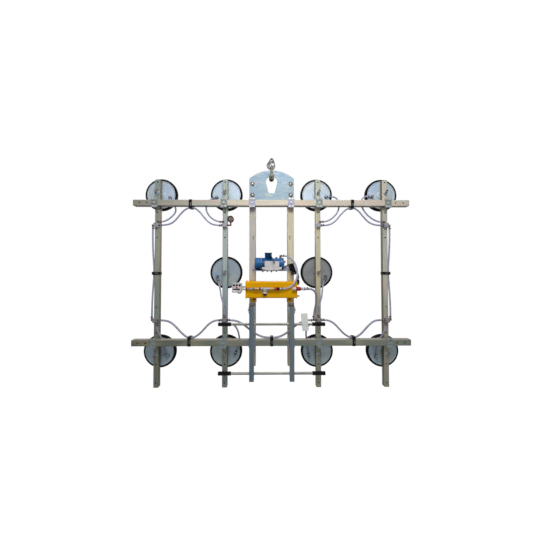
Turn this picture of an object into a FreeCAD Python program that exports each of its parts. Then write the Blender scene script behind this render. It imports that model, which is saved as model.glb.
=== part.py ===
import FreeCAD, Part
import math
import os
from types import SimpleNamespace

import Sketcher
from FreeCAD import Placement, Rotation, Vector

# A vacuum lifter for glass panels, hung from a safety hook. Millimetres, +X to the right, +Y towards the
# panel, +Z up, with the origin at the centre of the hook's eye. A drop is a depth below that eye.
SIZES = {
    # Beams, centre posts and pad carriers
    "beam_length": 2444, "beam_side": 54, "beam_wall": 3, "top_beam_drop": 400, "low_beam_fall": 630,
    "beam_hole_radius": 6, "beam_hole_inset": 52, "beam_hole_pitch": 68,
    "post_side": 58, "post_wall": 3, "post_spacing": 346, "post_drop": 174, "post_overhang": 219,
    "post_hole_radius": 5, "post_hole_pitch": 19, "post_hole_drop": 694, "post_hole_shift": 8,
    "post_eye_radius": 6, "post_eye_drop": 923,
    "carrier_side": 45, "carrier_wall": 3, "outer_spacing": 2070, "inner_spacing": 845,
    "carrier_drop": 176, "carrier_length": 1867, "carrier_hole_radius": 6,
    "tube_corner": 5, "tube_inner_corner": 2, "overrun": 2,
    # Cross clamps and their bolts
    "clamp_width": 57, "clamp_height": 86, "clamp_thickness": 6, "clamp_corner": 8,
    "clamp_column": 26, "clamp_row": 66,
    "bolt_radius": 5, "bolt_head_radius": 9, "bolt_head_height": 6, "bolt_clearance": 0.3,
    # Lifting plate
    "plate_thickness": 12, "plate_shoulder_drop": 169, "plate_crown_radius": 306, "plate_hem_drop": 350,
    "plate_hem_radius": 990, "window_top_drop": 145, "window_radius": 52, "window_foot_drop": 302,
    "window_foot_half": 31, "window_corner": 17,
    "plate_bolt_drop": 217.5, "plate_bolt_pitch": 100, "plate_bolt_radius": 8, "plate_bolt_head_radius": 16,
    "plate_bolt_head_height": 11,
    # Shackle, safety hook and latch
    "shackle_pin_radius": 11, "shackle_pin_clearance": 0.3, "shackle_bar_radius": 10, "shackle_mouth": 44,
    "shackle_ear_radius": 24, "shackle_bow_drop": 51, "shackle_nut_radius": 18, "shackle_nut_height": 12,
    "eye_bore_radius": 9, "eye_radius": 18, "hook_thickness": 22, "hook_seat_gap": 3.6, "hook_bowl_radius": 33,
    "hook_back_reach": 46, "hook_tip_reach": 35, "hook_tip_rise": 11, "hook_tip_width": 13, "hook_throat_reach": 20,
    "hook_throat_rise": 9, "hook_neck_reach": 2, "hook_neck_drop": 19, "hook_lug_reach": 26, "hook_lug_drop": 9,
    "hook_lug_height": 9, "hook_chin_reach": 12, "hook_chin_drop": 21,
    "latch_pin_radius": 2.5, "latch_pin_clearance": 0.1, "latch_pin_reach": 18, "latch_pin_drop": 13,
    "latch_half_width": 4.5, "latch_thickness": 12, "latch_side_gap": 0.4, "latch_length": 24, "latch_slant": 8,
    "latch_slot_reach": 11, "latch_slot_drop": 6,
    # Suction pads
    "pad_drop": 292, "pad_pitch": 728.5, "pad_radius": 150, "disc_radius": 131, "disc_thickness": 8,
    "disc_standoff": 28, "disc_rim_height": 4, "disc_rim_width": 9, "hub_radius": 32, "hub_height": 5,
    "stud_radius": 10, "stud_clearance": 0.1, "stud_overhang": 20, "collar_radius": 16, "collar_height": 9,
    "collar_gap": 0.3, "seal_depth": 27, "seal_lip": 8, "seal_land": 16,
    "elbow_offset": 91, "elbow_radius": 10, "elbow_height": 30, "outlet_drop": 9, "outlet_radius": 8,
    "outlet_length": 24, "spring_radius": 18, "spring_wire_radius": 1.5, "spring_pitch": 5.8,
    "spring_gap": 0.4,
    # Vacuum tank
    "tank_length": 424, "tank_height": 138, "tank_depth": 138, "tank_wall": 4, "tank_gap": 89,
    "tank_offset": -4, "tank_corner": 10, "tank_end_thickness": 5, "tank_end_overhang": 4, "tank_lug_width": 46,
    "tank_lug_height": 52, "tank_lug_lap": 30, "tank_lug_thickness": 6, "tank_lug_shift": 14,
    "tank_bolt_rise": 23, "drain_radius": 5, "drain_length": 20, "drain_rise": 14, "drain_inset": 40,
    # Vacuum pump on its rail
    "rail_length": 356, "rail_height": 41, "rail_depth": 118, "rail_thickness": 5, "rail_drop": 1005,
    "shelf_start": -135, "shelf_length": 262, "rail_bolt_inset": 14, "rail_bolt_rise": 25,
    "pump_axis_rise": 63, "pump_axis_reach": 72, "cowl_radius": 55, "cowl_length": 62, "cowl_lap": 8,
    "cowl_wall": 2.5, "cowl_corner": 9, "cowl_end": -145, "cowl_slot_width": 5, "cowl_slot_foot": 16, "cowl_slot_length": 28,
    "motor_radius": 45, "motor_length": 92, "fin_height": 7.2, "fin_thickness": 3,
    "shaft_radius": 7, "shaft_clearance": 0.08, "shaft_length": 62, "shaft_seat": 24, "fan_hub_radius": 15,
    "fan_length": 20, "fan_radius": 47, "fan_blade_thickness": 2, "fan_end_gap": 8,
    "pump_radius": 50, "pump_length": 100, "pump_flange_radius": 53, "pump_flange_length": 12,
    "pump_cover_radius": 40, "pump_cover_length": 8, "pump_plug_radius": 9, "pump_plug_length": 11,
    "pump_plug_rise": 18, "pump_port_radius": 8, "pump_port_rise": 69, "pump_port_seat": 75, "pump_port_length": 18,
    "pump_stub_radius": 8, "pump_stub_rise": 58, "pump_stub_seat": 41, "foot_length": 26, "foot_width": 40,
    "foot_inset": 20, "terminal_length": 60, "terminal_width": 62, "terminal_rise": 95, "terminal_start": -60,
    "terminal_foot": 30, "gland_radius": 7, "gland_length": 12, "gland_offset": -12, "gland_rise": 74,
    "filter_length": 124, "filter_height": 79,
    "filter_depth": 40, "filter_start": -61, "filter_reach": 134, "filter_rise": 1, "filter_cap_radius": 11,
    "filter_cap_length": 20, "filter_cap_rise": 17, "filter_cap_inset": 20, "saddle_gap": 0.3,
    # Manifold blocks, fittings and straps
    "block_width": 40, "block_height": 40, "block_depth": 30, "block_chamfer": 3, "top_block_drop": 594,
    "low_block_fall": 439, "nipple_length": 14, "nipple_radius": 10.5, "fitting_radius": 9,
    "fitting_shift": 13, "fitting_rise": 12, "fitting_lead": 17, "drop_reach": 31, "drop_rise": 18,
    "tee_length": 22, "tee_rise": 20, "slim_hose_radius": 7.5, "main_hose_radius": 9,
    "strap_width": 26, "strap_thickness": 3,
    "strap_gap": 0.4, "strap_slack": 5, "strap_top_offset": 718, "strap_low_offset": 722, "strap_side_drop": 1026,
    # Vacuum gauge
    "gauge_radius": 28, "gauge_depth": 26, "gauge_rim": 3, "gauge_recess": 7,
    "gauge_rise": 55, "gauge_stem_radius": 7, "gauge_arm_length": 34,
    "needle_radius": 21, "needle_width": 3, "needle_thickness": 1.2,
    "needle_hub_radius": 4, "needle_pin_radius": 1.5, "needle_clearance": 0.1, "needle_lift": 2,
    "needle_pin_depth": 5,
    # Vacuum line, line filter and hand valve
    "line_fall": 57, "line_reach": 24, "line_start": -246, "line_nose_radius": 11, "line_nose_length": 30,
    "pipe_radius": 7, "pipe_length": 66, "coupling_radius": 12, "coupling_length": 46, "line_tail_length": 12,
    "stay_radius": 6, "stay_offset": 46, "trap_length": 72, "trap_radius": 10.5, "trap_seat": 34,
    "trap_bowl_radius": 19, "trap_bowl_height": 24, "trap_nose_radius": 13, "trap_nose_height": 14,
    "trap_neck_radius": 14, "trap_neck_height": 14, "joint_radius": 10, "joint_length": 50,
    "coupler_radius": 10.5, "coupler_length": 46, "valve_start": 170, "valve_stub_length": 28,
    "valve_stub_radius": 12.5, "valve_body_radius": 11, "valve_body_length": 54, "valve_tail_radius": 11.5,
    "valve_tail_length": 34, "valve_stay_inset": 14, "sleeve_start": 4, "sleeve_length": 36, "sleeve_radius": 17,
    "sleeve_clearance": 0.1,
    # Vacuum monitor
    "monitor_width": 80, "monitor_height": 80, "monitor_depth": 42, "monitor_corner": 10, "monitor_start": -328,
    "monitor_fall": 7, "monitor_reach": 190, "key_side": 15, "key_depth": 6, "key_proud": 2, "key_gap": 0.4,
    "key_pitch": 24, "key_drop": 18, "key_travel": 1.2, "sounder_radius": 22, "sounder_depth": 20,
    "sounder_shift": 59, "sounder_drop": 68, "sounder_lap": 12, "arm_height": 16, "arm_thickness": 5,
    "arm_fall": 36, "arm_lap": 62, "arm_depth": 55,
    # Handle frame
    "leg_side": 40, "leg_wall": 2.5, "leg_fall": 19, "leg_length": 627, "leg_reach": 108, "leg_corner": 3,
    "leg_inner_corner": 1.5, "bar_radius": 11.5, "bar_bite": 1, "bar_length": 924,
    "upper_bar_fall": 174, "lower_bar_fall": 599,
    "grip_radius": 16, "grip_length": 112, "grip_end": 4, "grip_gap": 0.2, "grip_rib_radius": 17.5,
    "grip_rib_width": 5,
    "pivot_fall": 44, "pivot_radius": 6, "pivot_clearance": 0.1, "pivot_head_radius": 11,
    "pivot_head_length": 6, "hinge_width": 62, "hinge_height": 94, "hinge_thickness": 5, "hinge_gap": 12,
    "hinge_cheek_height": 58, "hinge_side_gap": 0.6, "hinge_nose": 16, "hinge_bolt_inset": 11,
    # Power cable and plug
    "cable_radius": 4, "curl_radius": 25, "curl_pitch": 12, "curl_lead": 24, "hose_lead": 30, "plug_radius": 13,
    "plug_length": 34, "plug_neck_radius": 7, "plug_neck_length": 10, "plug_pin_radius": 3, "plug_pin_length": 12,
    "plug_pin_circle": 7,
}

# Counts
FIN_COUNT = 22
SLOT_COUNT = 12
BLADE_COUNT = 7
GRIP_RIB_COUNT = 6
SPRING_QUARTERS = 12
CURL_QUARTERS = 33
GAP_SKIP = 24
GAP_POINTS = 6
KEY_COUNT = 3
PLUG_PIN_COUNT = 3
HEXAGON = 6

# Holes down a pad carrier, as shares of its length from the top
CARRIER_HOLE_SHARES = (0.0105, 0.16, 0.282, 0.618, 0.742, 0.891, 0.98)

# Each pad: side (-1 left, 1 right), column, row from the top, and the bearings in degrees of its hose elbow
# about the pad's centre and of the elbow's outlet, counted from +X towards +Z
PADS = {
    "outer_left_top": (-1, "outer", 0, -17, -70),
    "inner_left_top": (-1, "inner", 0, 196, 200),
    "inner_right_top": (1, "inner", 0, -12, 0),
    "outer_right_top": (1, "outer", 0, 190, 180),
    "inner_left_mid": (-1, "inner", 1, 206, -74),
    "inner_right_mid": (1, "inner", 1, -24, -114),
    "outer_left_low": (-1, "outer", 2, -30, 120),
    "inner_left_low": (-1, "inner", 2, -17, 68),
    "inner_right_low": (1, "inner", 2, 213, 99),
    "outer_right_low": (1, "outer", 2, 222, 92),
}

# Hose routes between their ends, in millimetres
LINK_ROUTES = {
    "top_left": [
        (-912, -12, -585), (-866, -15, -556), (-826, -17, -506), (-786, -19, -463), (-744, -19, -438),
        (-694, -19, -438), (-654, -19, -465), (-614, -17, -513), (-576, -15, -560), (-532, -12, -588)],
    "top_right": [
        (532, -12, -586), (576, -15, -556), (616, -17, -506), (656, -19, -463), (696, -19, -438),
        (742, -19, -438), (782, -19, -463), (822, -17, -511), (862, -15, -556), (908, -12, -584)],
    "low_left": [
        (-918, -12, -1450), (-876, -15, -1474), (-836, -17, -1513), (-794, -19, -1557), (-746, -19, -1595),
        (-692, -19, -1596), (-642, -19, -1565), (-600, -17, -1521), (-562, -15, -1478), (-522, -12, -1452)],
    "low_middle": [
        (-306, -12, -1450), (-252, -15, -1478), (-200, -17, -1521), (-144, -19, -1563), (-72, -19, -1593),
        (-6, -19, -1596), (62, -19, -1593), (132, -19, -1558), (192, -17, -1507), (246, -14, -1468),
        (304, -11, -1448)],
    "low_right": [
        (524, -12, -1452), (564, -15, -1478), (602, -17, -1521), (644, -19, -1565), (694, -19, -1596),
        (748, -19, -1596), (798, -19, -1563), (840, -17, -1517), (880, -15, -1476), (920, -12, -1450)],
    "drop_left": [
        (-1067, -7, -702), (-1069, 2, -802), (-1070, 17, -902), (-1069, 26, -978), (-1069, 26, -1062),
        (-1070, 17, -1140), (-1069, 2, -1240), (-1067, -7, -1338)],
    "drop_right": [
        (1067, -7, -700), (1069, 2, -800), (1070, 17, -902), (1069, 26, -978), (1069, 26, -1062),
        (1070, 17, -1140), (1069, 2, -1242), (1067, -7, -1340)],
    "valve": [(343, -157, -1160), (366, -142, -1182), (381, -112, -1223), (386, -75, -1279), (383, -38, -1334)],
    "pump": [
        (150, -68, -882), (178, -74, -904), (202, -84, -938), (216, -98, -982), (219, -118, -1028),
        (209, -140, -1072), (186, -155, -1110), (152, -161, -1138)],
}
PAD_ROUTES = {
    "outer_left_top": [
        (-900, 54, -402), (-882, 44, -438), (-884, 30, -476), (-910, 12, -516), (-945, -3, -549)],
    "inner_left_top": [
        (-586, 54, -356), (-601, 44, -390), (-602, 28, -436), (-582, 8, -486), (-540, -5, -534)],
    "inner_right_top": [
        (595, 57, -318), (617, 52, -340), (626, 40, -382), (618, 21, -438), (587, 2, -494), (537, -7, -539)],
    "outer_right_top": [
        (863, 57, -316), (842, 52, -338), (832, 40, -382), (837, 21, -436), (862, 2, -488), (905, -7, -531),
        (945, -9, -553)],
    "inner_left_mid": [
        (-479, 51, -1146), (-467, 32, -1188), (-456, 7, -1232), (-438, -11, -1278), (-424, -15, -1332)],
    "inner_right_mid": [
        (474, 51, -1142), (464, 32, -1186), (455, 7, -1230), (437, -11, -1276), (424, -15, -1330)],
    "outer_left_low": [
        (-990, 55, -1718), (-989, 44, -1676), (-990, 27, -1632), (-998, 8, -1590), (-1013, -6, -1548)],
    "inner_left_low": [
        (-304, 54, -1696), (-296, 44, -1656), (-292, 27, -1610), (-297, 10, -1564), (-309, -3, -1522),
        (-331, -8, -1489)],
    "inner_right_low": [
        (332, 54, -1712), (324, 44, -1668), (316, 27, -1620), (309, 10, -1570), (311, -3, -1525),
        (331, -8, -1490)],
    "outer_right_low": [
        (963, 54, -1722), (966, 42, -1678), (977, 28, -1634), (995, 9, -1592), (1011, -5, -1550)],
}
# The curly cable: its way from the terminal box, the line that its curls wind about, and its tail
CABLE_ROUTE = [(-12, 10, -868), (4, 32, -888), (38, 30, -920), (70, 8, -946), (108, -16, -970)]
CURL_AXIS = ((170, -40, -944), (214, -40, -1070))
CABLE_TAIL = [(0, -17, -17), (0, 0, -24)]
JUMPER_ROUTE = [(-12, -147, -868), (-8, -163, -876), (0, -172, -891), (8, -172, -907), (16, -163, -922),
                (20, -147, -930)]
JUMPER_END = (20, -128, -930)

doc = FreeCAD.newDocument("glass_panel_lifter")
sheet = doc.addObject("Spreadsheet::Sheet", "sizes")
nodes = []


class Size:
    """A length of the sheet, or a sum of such lengths, with its value and the text that binds it."""

    def __init__(self, value, text):
        self.value = float(value)
        self.text = text

    def joined(self, sign, other, value):
        return Size(value, f"({self.text} {sign} {wording(other)})")

    def __float__(self):
        return self.value

    def __add__(self, other):
        return self.joined("+", other, self.value + number(other))

    __radd__ = __add__

    def __sub__(self, other):
        return self.joined("-", other, self.value - number(other))

    def __rsub__(self, other):
        return -self + other

    def __mul__(self, other):
        return self.joined("*", other, self.value * number(other))

    __rmul__ = __mul__

    def __truediv__(self, other):
        return self.joined("/", other, self.value / number(other))

    def __neg__(self):
        return Size(-self.value, f"(0 - {self.text})")


def number(length):
    return length.value if isinstance(length, Size) else float(length)


def wording(length):
    return length.text if isinstance(length, Size) else str(length)


def fill_sheet():
    sizes = SimpleNamespace()
    for row, (alias, value) in enumerate(SIZES.items(), start=1):
        sheet.set(f"A{row}", alias)
        sheet.set(f"B{row}", str(value))
        sheet.setAlias(f"B{row}", alias)
    doc.recompute()
    for alias in SIZES:
        setattr(sizes, alias, Size(sheet.get(alias), f"sizes.{alias}"))
    return sizes


s = fill_sheet()

# The front faces of posts and carriers, with the lifting plate against the posts
front = s.plate_thickness / 2
beam_middle = front - s.beam_side / 2
post_middle = front + s.post_side / 2
carrier_middle = front + s.carrier_side / 2
top_beam_level = -s.top_beam_drop
low_beam_level = -s.rail_drop - s.low_beam_fall
post_length = s.post_overhang - low_beam_level - s.post_drop
low_block_drop = s.rail_drop + s.low_block_fall
block_middle = front - s.block_depth / 2
tank_drop = s.rail_drop + s.tank_gap
pump_drop = s.rail_drop - s.pump_axis_rise
line_drop = tank_drop + s.line_fall
monitor_drop = tank_drop + s.monitor_fall
arm_drop = tank_drop + s.arm_fall
hinge_drop = tank_drop + s.tank_height + s.tank_lug_height + s.hinge_gap
leg_drop = hinge_drop + s.leg_fall
pivot_drop = hinge_drop + s.pivot_fall
upper_bar_drop = hinge_drop + s.upper_bar_fall
lower_bar_drop = hinge_drop + s.lower_bar_fall
disc_front = front + s.carrier_side + s.disc_standoff
COLUMNS = {"outer": s.outer_spacing / 2, "inner": s.inner_spacing / 2}
TO_X = Rotation(Vector(0, 1, 0), 90)
TO_Y = Rotation(Vector(1, 0, 0), -90)
TURNED = {"X": TO_X, "Y": TO_Y, "Z": Rotation()}
SIDES = (-1, 1)


# Building blocks

def bind(piece, lengths):
    for name, length in lengths.items():
        if isinstance(length, Size):
            piece.setExpression(name, length.text)


def place(piece, x, y, z, rotation=Rotation()):
    piece.Placement = Placement(Vector(), rotation)
    bind(piece, {".Placement.Base.x": x, ".Placement.Base.y": y, ".Placement.Base.z": z})
    return piece


def block(name, x, y, z, length, width, height):
    """A block from its lowest corner."""
    piece = doc.addObject("Part::Box", name)
    bind(piece, {"Length": length, "Width": width, "Height": height})
    return place(piece, x, y, z)


def rod(name, axis, x, y, z, radius, length):
    """A round bar from the centre of its low end."""
    piece = doc.addObject("Part::Cylinder", name)
    bind(piece, {"Radius": radius, "Height": length})
    return place(piece, x, y, z, TURNED[axis])


def cut(name, base, tool):
    piece = doc.addObject("Part::Cut", name)
    piece.Base = base
    piece.Tool = tool
    return piece


def fuse(name, *pieces):
    piece = doc.addObject("Part::MultiFuse", name)
    piece.Shapes = list(pieces)
    return piece


def node(label, *pieces):
    """A sub-part under its own label, made of one solid or of several that belong together."""
    piece = pieces[0]
    if len(pieces) > 1:
        piece = doc.addObject("Part::Compound", label)
        piece.Links = list(pieces)
    piece.Label = label
    nodes.append(piece)
    return piece


def shaped(label, shape):
    """A sub-part whose shape is worked out below from the sheet's sizes."""
    piece = doc.addObject("Part::Feature", label)
    piece.Shape = shape
    piece.Placement = Placement()
    return node(label, piece)


# Sketches and bodies

def new_body(name):
    return doc.addObject("PartDesign::Body", name)


def sketch(body, name, plane, lift=0):
    drawing = body.newObject("Sketcher::SketchObject", f"{body.Name}_{name}")
    for feature in body.Origin.OriginFeatures:
        if feature.Role == plane:
            drawing.AttachmentSupport = [(feature, "")]
    drawing.MapMode = "FlatFace"
    bind(drawing, {"AttachmentOffset.Base.z": lift})
    return drawing


def hold(drawing, geometry, end, x, y):
    """Holds one point of a sketch at its two lengths from the sketch's origin."""
    for kind, axis, length in (("DistanceX", -2, x), ("DistanceY", -1, y)):
        if isinstance(length, Size):
            rule = Sketcher.Constraint(kind, -1, 1, geometry, end, length.value)
            index = drawing.addConstraint(rule)
            drawing.setExpression(f"Constraints[{index}]", length.text)
        else:
            drawing.addConstraint(Sketcher.Constraint("PointOnObject", geometry, end, axis))


def set_radius(drawing, geometry, radius):
    index = drawing.addConstraint(Sketcher.Constraint("Radius", geometry, radius.value))
    drawing.setExpression(f"Constraints[{index}]", radius.text)


def circle(drawing, x, y, radius):
    middle = Vector(number(x), number(y), 0)
    index = drawing.addGeometry(Part.Circle(middle, Vector(0, 0, 1), radius.value))
    hold(drawing, index, 3, x, y)
    set_radius(drawing, index, radius)


def arc_edge(begin, finish, radius):
    """The shorter arc between two points, turning left for a positive radius and right for a negative one."""
    chord = finish - begin
    left = Vector(-chord.y, chord.x, 0).normalize()
    rise = math.sqrt(max(radius ** 2 - (chord.Length / 2) ** 2, 0))
    middle = (begin + finish) / 2 + left * math.copysign(rise, radius)
    first, last = (begin, finish) if radius > 0 else (finish, begin)
    angles = [math.atan2(end.y - middle.y, end.x - middle.x) for end in (first, last)]
    return Part.ArcOfCircle(Part.Circle(middle, Vector(0, 0, 1), abs(radius)), *angles)


def outline(drawing, points):
    """A closed outline. A point (x, y, radius) starts an arc to the next point, and (x, y) a straight run."""
    corners = [Vector(number(point[0]), number(point[1]), 0) for point in points]
    count = len(points)
    ends = []
    for index, point in enumerate(points):
        begin = corners[index]
        finish = corners[(index + 1) % count]
        if len(point) == 3:
            radius = point[2]
            geometry = drawing.addGeometry(arc_edge(begin, finish, radius.value))
            ends.append((geometry, 1, 2) if radius.value > 0 else (geometry, 2, 1))
        else:
            geometry = drawing.addGeometry(Part.LineSegment(begin, finish))
            ends.append((geometry, 1, 2))
    for index in range(count):
        geometry, begin, finish = ends[index]
        following = ends[(index + 1) % count]
        drawing.addConstraint(Sketcher.Constraint("Coincident", geometry, finish, following[0], following[1]))
    for (geometry, begin, finish), point in zip(ends, points):
        hold(drawing, geometry, begin, point[0], point[1])
        if len(point) == 3:
            set_radius(drawing, geometry, point[2] if point[2].value > 0 else -point[2])


def rounded_rectangle(drawing, low_x, low_y, width, height, radius):
    high_x = low_x + width
    high_y = low_y + height
    outline(drawing, [
        (low_x + radius, low_y), (high_x - radius, low_y, radius),
        (high_x, low_y + radius), (high_x, high_y - radius, radius),
        (high_x - radius, high_y), (low_x + radius, high_y, radius),
        (low_x, high_y - radius), (low_x, low_y + radius, radius),
    ])


def centred_square(drawing, side, radius):
    rounded_rectangle(drawing, -side / 2, -side / 2, side, side, radius)


def pad(body, drawing, length, away=False):
    feature = body.newObject("PartDesign::Pad", f"{drawing.Name}_pad")
    feature.Profile = drawing
    feature.Reversed = away
    bind(feature, {"Length": length})
    return feature


def pocket(body, drawing, depth=None):
    feature = body.newObject("PartDesign::Pocket", f"{drawing.Name}_pocket")
    feature.Profile = drawing
    if depth is None:
        feature.Type = "ThroughAll"
    else:
        bind(feature, {"Length": depth})
    return feature


def revolution(body, drawing, axis):
    feature = body.newObject("PartDesign::Revolution", f"{drawing.Name}_turn")
    feature.Profile = drawing
    feature.ReferenceAxis = (drawing, [axis])
    feature.Angle = 360
    return feature


def polar_pattern(body, feature, drawing, axis, count):
    pattern = body.newObject("PartDesign::PolarPattern", f"{feature.Name}_ring")
    pattern.Originals = [feature]
    pattern.Axis = (drawing, [axis])
    pattern.Angle = 360
    pattern.Occurrences = count
    body.Tip = pattern
    return pattern


def turned(name, profile, axis):
    """A body turned about X or Y from a profile of (place along the axis, radius)."""
    body = new_body(name)
    if axis == "X":
        drawing = sketch(body, "profile", "XZ_Plane")
        outline(drawing, profile)
        revolution(body, drawing, "H_Axis")
    else:
        drawing = sketch(body, "profile", "XY_Plane")
        outline(drawing, [(point[1], point[0], *[-radius for radius in point[2:]]) for point in profile])
        revolution(body, drawing, "V_Axis")
    return body


# Bent tubes

def corner_arc(begin, corner, finish):
    """The arc that touches both legs of a corner, from one end to the other of legs of equal length."""
    first = (corner - begin).normalize()
    last = (finish - corner).normalize()
    turn = first.getAngle(last)
    radius = (corner - begin).Length / math.tan(turn / 2)
    inward = (last - first).normalize()
    middle = corner + inward * (radius / math.cos(turn / 2) - radius)
    return Part.Arc(begin, middle, finish).toShape(), radius


def swept(edges, radius, direction):
    path = Part.Wire(edges)
    start = path.OrderedVertexes[0].Point
    ring = Part.Wire(Part.makeCircle(radius, start, direction))
    return path.makePipeShell([ring], True, False), path.Length


BEND_SHARE = 0.45


def run_edges(points):
    """Straight runs between points, joined by arcs as large as their runs allow, and the arcs' radii."""
    edges = []
    radii = []
    place_now = points[0]
    for before, corner, after in zip(points, points[1:], points[2:]):
        reach = BEND_SHARE * min((corner - before).Length, (after - corner).Length)
        begin = corner + (before - corner).normalize() * reach
        finish = corner + (after - corner).normalize() * reach
        edges.append(Part.LineSegment(place_now, begin).toShape())
        bend, bend_radius = corner_arc(begin, corner, finish)
        edges.append(bend)
        radii.append(bend_radius)
        place_now = finish
    edges.append(Part.LineSegment(place_now, points[-1]).toShape())
    return edges, radii


def soft_tube(name, points, radius):
    """A hose through hand-laid points."""
    points = [Vector(*point) for point in points]
    edges, radii = run_edges(points)
    solid, length = swept(edges, radius, points[1] - points[0])
    share = solid.Volume / (math.pi * radius ** 2 * length)
    print(f"{name}: length {length:.0f}, least radius {min(radii):.0f}, volume share {share:.4f}")
    return solid


def helix_edges(points, tangents):
    """Two arcs for each step of a winding, through its points and along its tangents."""
    edges = []
    for begin, finish, out, into in zip(points, points[1:], tangents, tangents[1:]):
        chord = finish - begin
        bend = 2 * (out.dot(into) - 1)
        along = chord.dot(out + into)
        leg = (-along + math.sqrt(along ** 2 - bend * chord.dot(chord))) / -bend
        first = begin + out * leg
        last = finish - into * leg
        joint = (first + last) / 2
        edges.append(corner_arc(begin, first, joint)[0])
        edges.append(corner_arc(joint, last, finish)[0])
    return edges


def winding(radius, pitch, quarters):
    """Points and tangents of a helix about +Z, a quarter turn apart."""
    points = []
    tangents = []
    for step in range(quarters + 1):
        angle = step * math.pi / 2
        points.append(Vector(radius * math.cos(angle), radius * math.sin(angle), pitch * step / 4))
        run = Vector(-radius * math.sin(angle), radius * math.cos(angle), pitch / (2 * math.pi))
        tangents.append(run.normalize())
    return points, tangents


def self_gap(path, radius):
    """The least gap between a winding's turns, measured on points along it."""
    points = path.discretize(Number=len(path.Edges) * GAP_POINTS)
    least = None
    for index, first in enumerate(points):
        for last in points[index + GAP_SKIP:]:
            gap = (last - first).Length - 2 * radius
            least = gap if least is None else min(least, gap)
    return least


# Frame of square tubes

def tube(name, axis, side, wall, length, holes):
    """A square tube from the middle of its low end, with round holes (x, z, radius) from front to back."""
    body = new_body(name)
    section = sketch(body, "section", "XY_Plane" if axis == "Z" else "YZ_Plane")
    centred_square(section, side, s.tube_corner)
    centred_square(section, side - 2 * wall, s.tube_inner_corner)
    pad(body, section, length)
    drill = sketch(body, "holes", "XZ_Plane", side / 2 + s.overrun)
    for x, z, radius in holes:
        circle(drill, x, z, radius)
    pocket(body, drill)
    return body


def clamp_holes(level, bottom):
    """The four bolt holes of a cross clamp through the tube behind the beam."""
    return [
        (x * s.clamp_column / 2, z * s.clamp_row / 2 + (level - bottom), s.bolt_radius + s.bolt_clearance)
        for x in SIDES for z in SIDES
    ]


def clamp_columns():
    return [side * COLUMNS[column] for column in ("outer", "inner") for side in SIDES] + [
        side * s.post_spacing / 2 for side in SIDES
    ]


def make_beams():
    for name, level in (("top_beam", top_beam_level), ("bottom_beam", low_beam_level)):
        holes = []
        for offset in (s.beam_hole_inset, s.beam_hole_inset + s.beam_hole_pitch):
            holes.append((offset, 0, s.beam_hole_radius))
            holes.append((s.beam_length - offset, 0, s.beam_hole_radius))
        for column in clamp_columns():
            holes.append((s.beam_length / 2 + column, 0, s.bolt_radius + s.bolt_clearance))
        body = tube(name, "X", s.beam_side, s.beam_wall, s.beam_length, holes)
        place(body, -s.beam_length / 2, beam_middle, level)
        node(name, body)


def mounting_bolts():
    """Bolts (offset from a post towards the middle, level, front face) that hold brackets on a post."""
    rail_inset = s.post_spacing / 2 - s.rail_length / 2 + s.rail_bolt_inset
    tank_foot = -tank_drop - s.tank_height - s.tank_lug_height
    hinge_face = front - s.hinge_thickness
    return [
        (rail_inset, -s.rail_drop + s.rail_bolt_rise, front - s.rail_thickness),
        (s.tank_lug_shift, tank_foot + s.tank_bolt_rise, front - s.tank_lug_thickness),
        (0, -hinge_drop - s.hinge_bolt_inset, hinge_face),
        (0, -hinge_drop - s.hinge_height + s.hinge_bolt_inset, hinge_face),
    ]


def make_posts():
    bottom = -s.post_drop - post_length
    posts = []
    for side, word in zip(SIDES, ("left", "right")):
        holes = clamp_holes(top_beam_level, bottom) + clamp_holes(low_beam_level, bottom)
        for step in range(2):
            level = -s.post_hole_drop - step * s.post_hole_pitch
            holes.append((-side * s.post_hole_shift, level - bottom, s.post_hole_radius))
            level = -s.plate_bolt_drop - step * s.plate_bolt_pitch
            holes.append((0, level - bottom, s.plate_bolt_radius + s.bolt_clearance))
        holes.append((0, -s.post_eye_drop - bottom, s.post_eye_radius))
        for inset, level, face in mounting_bolts():
            holes.append((-side * inset, level - bottom, s.bolt_radius + s.bolt_clearance))
        body = tube(f"{word}_post", "Z", s.post_side, s.post_wall, post_length, holes)
        posts.append(place(body, side * s.post_spacing / 2, post_middle, bottom))
    node("centre_posts", *posts)


def make_carriers():
    bottom = -s.carrier_drop - s.carrier_length
    for column, rows in (("outer", (0, 2)), ("inner", (0, 1, 2))):
        holes = clamp_holes(top_beam_level, bottom) + clamp_holes(low_beam_level, bottom)
        for share in CARRIER_HOLE_SHARES:
            holes.append((0, s.carrier_length * (1 - share), s.carrier_hole_radius))
        for row in rows:
            holes.append((0, -s.pad_drop - row * s.pad_pitch - bottom, s.stud_radius + s.stud_clearance))
        carriers = []
        for side, word in zip(SIDES, ("left", "right")):
            body = tube(f"{column}_{word}_carrier", "Z", s.carrier_side, s.carrier_wall, s.carrier_length, holes)
            carriers.append(place(body, side * COLUMNS[column], carrier_middle, bottom))
        node(f"{column}_carriers", *carriers)


def make_clamps():
    plates = []
    for level in (top_beam_level, low_beam_level):
        for column in clamp_columns():
            body = new_body("clamp_plate")
            face = sketch(body, "face", "XZ_Plane")
            rounded_rectangle(face, -s.clamp_width / 2, -s.clamp_height / 2, s.clamp_width, s.clamp_height,
                              s.clamp_corner)
            circle(face, 0, 0, s.bolt_radius + s.bolt_clearance)
            for x, z, radius in clamp_holes(0, 0):
                circle(face, x, z, radius)
            pad(body, face, s.clamp_thickness)
            plates.append(place(body, column, front - s.beam_side, level))
    node("clamp_plates", *plates)


def hexagon(radius, y, height):
    """A hexagonal prism along Y."""
    points = []
    for corner in range(HEXAGON + 1):
        angle = 2 * math.pi * corner / HEXAGON
        points.append(Vector(radius * math.cos(angle), y, radius * math.sin(angle)))
    return Part.Face(Part.makePolygon(points)).extrude(Vector(0, height, 0))


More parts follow.
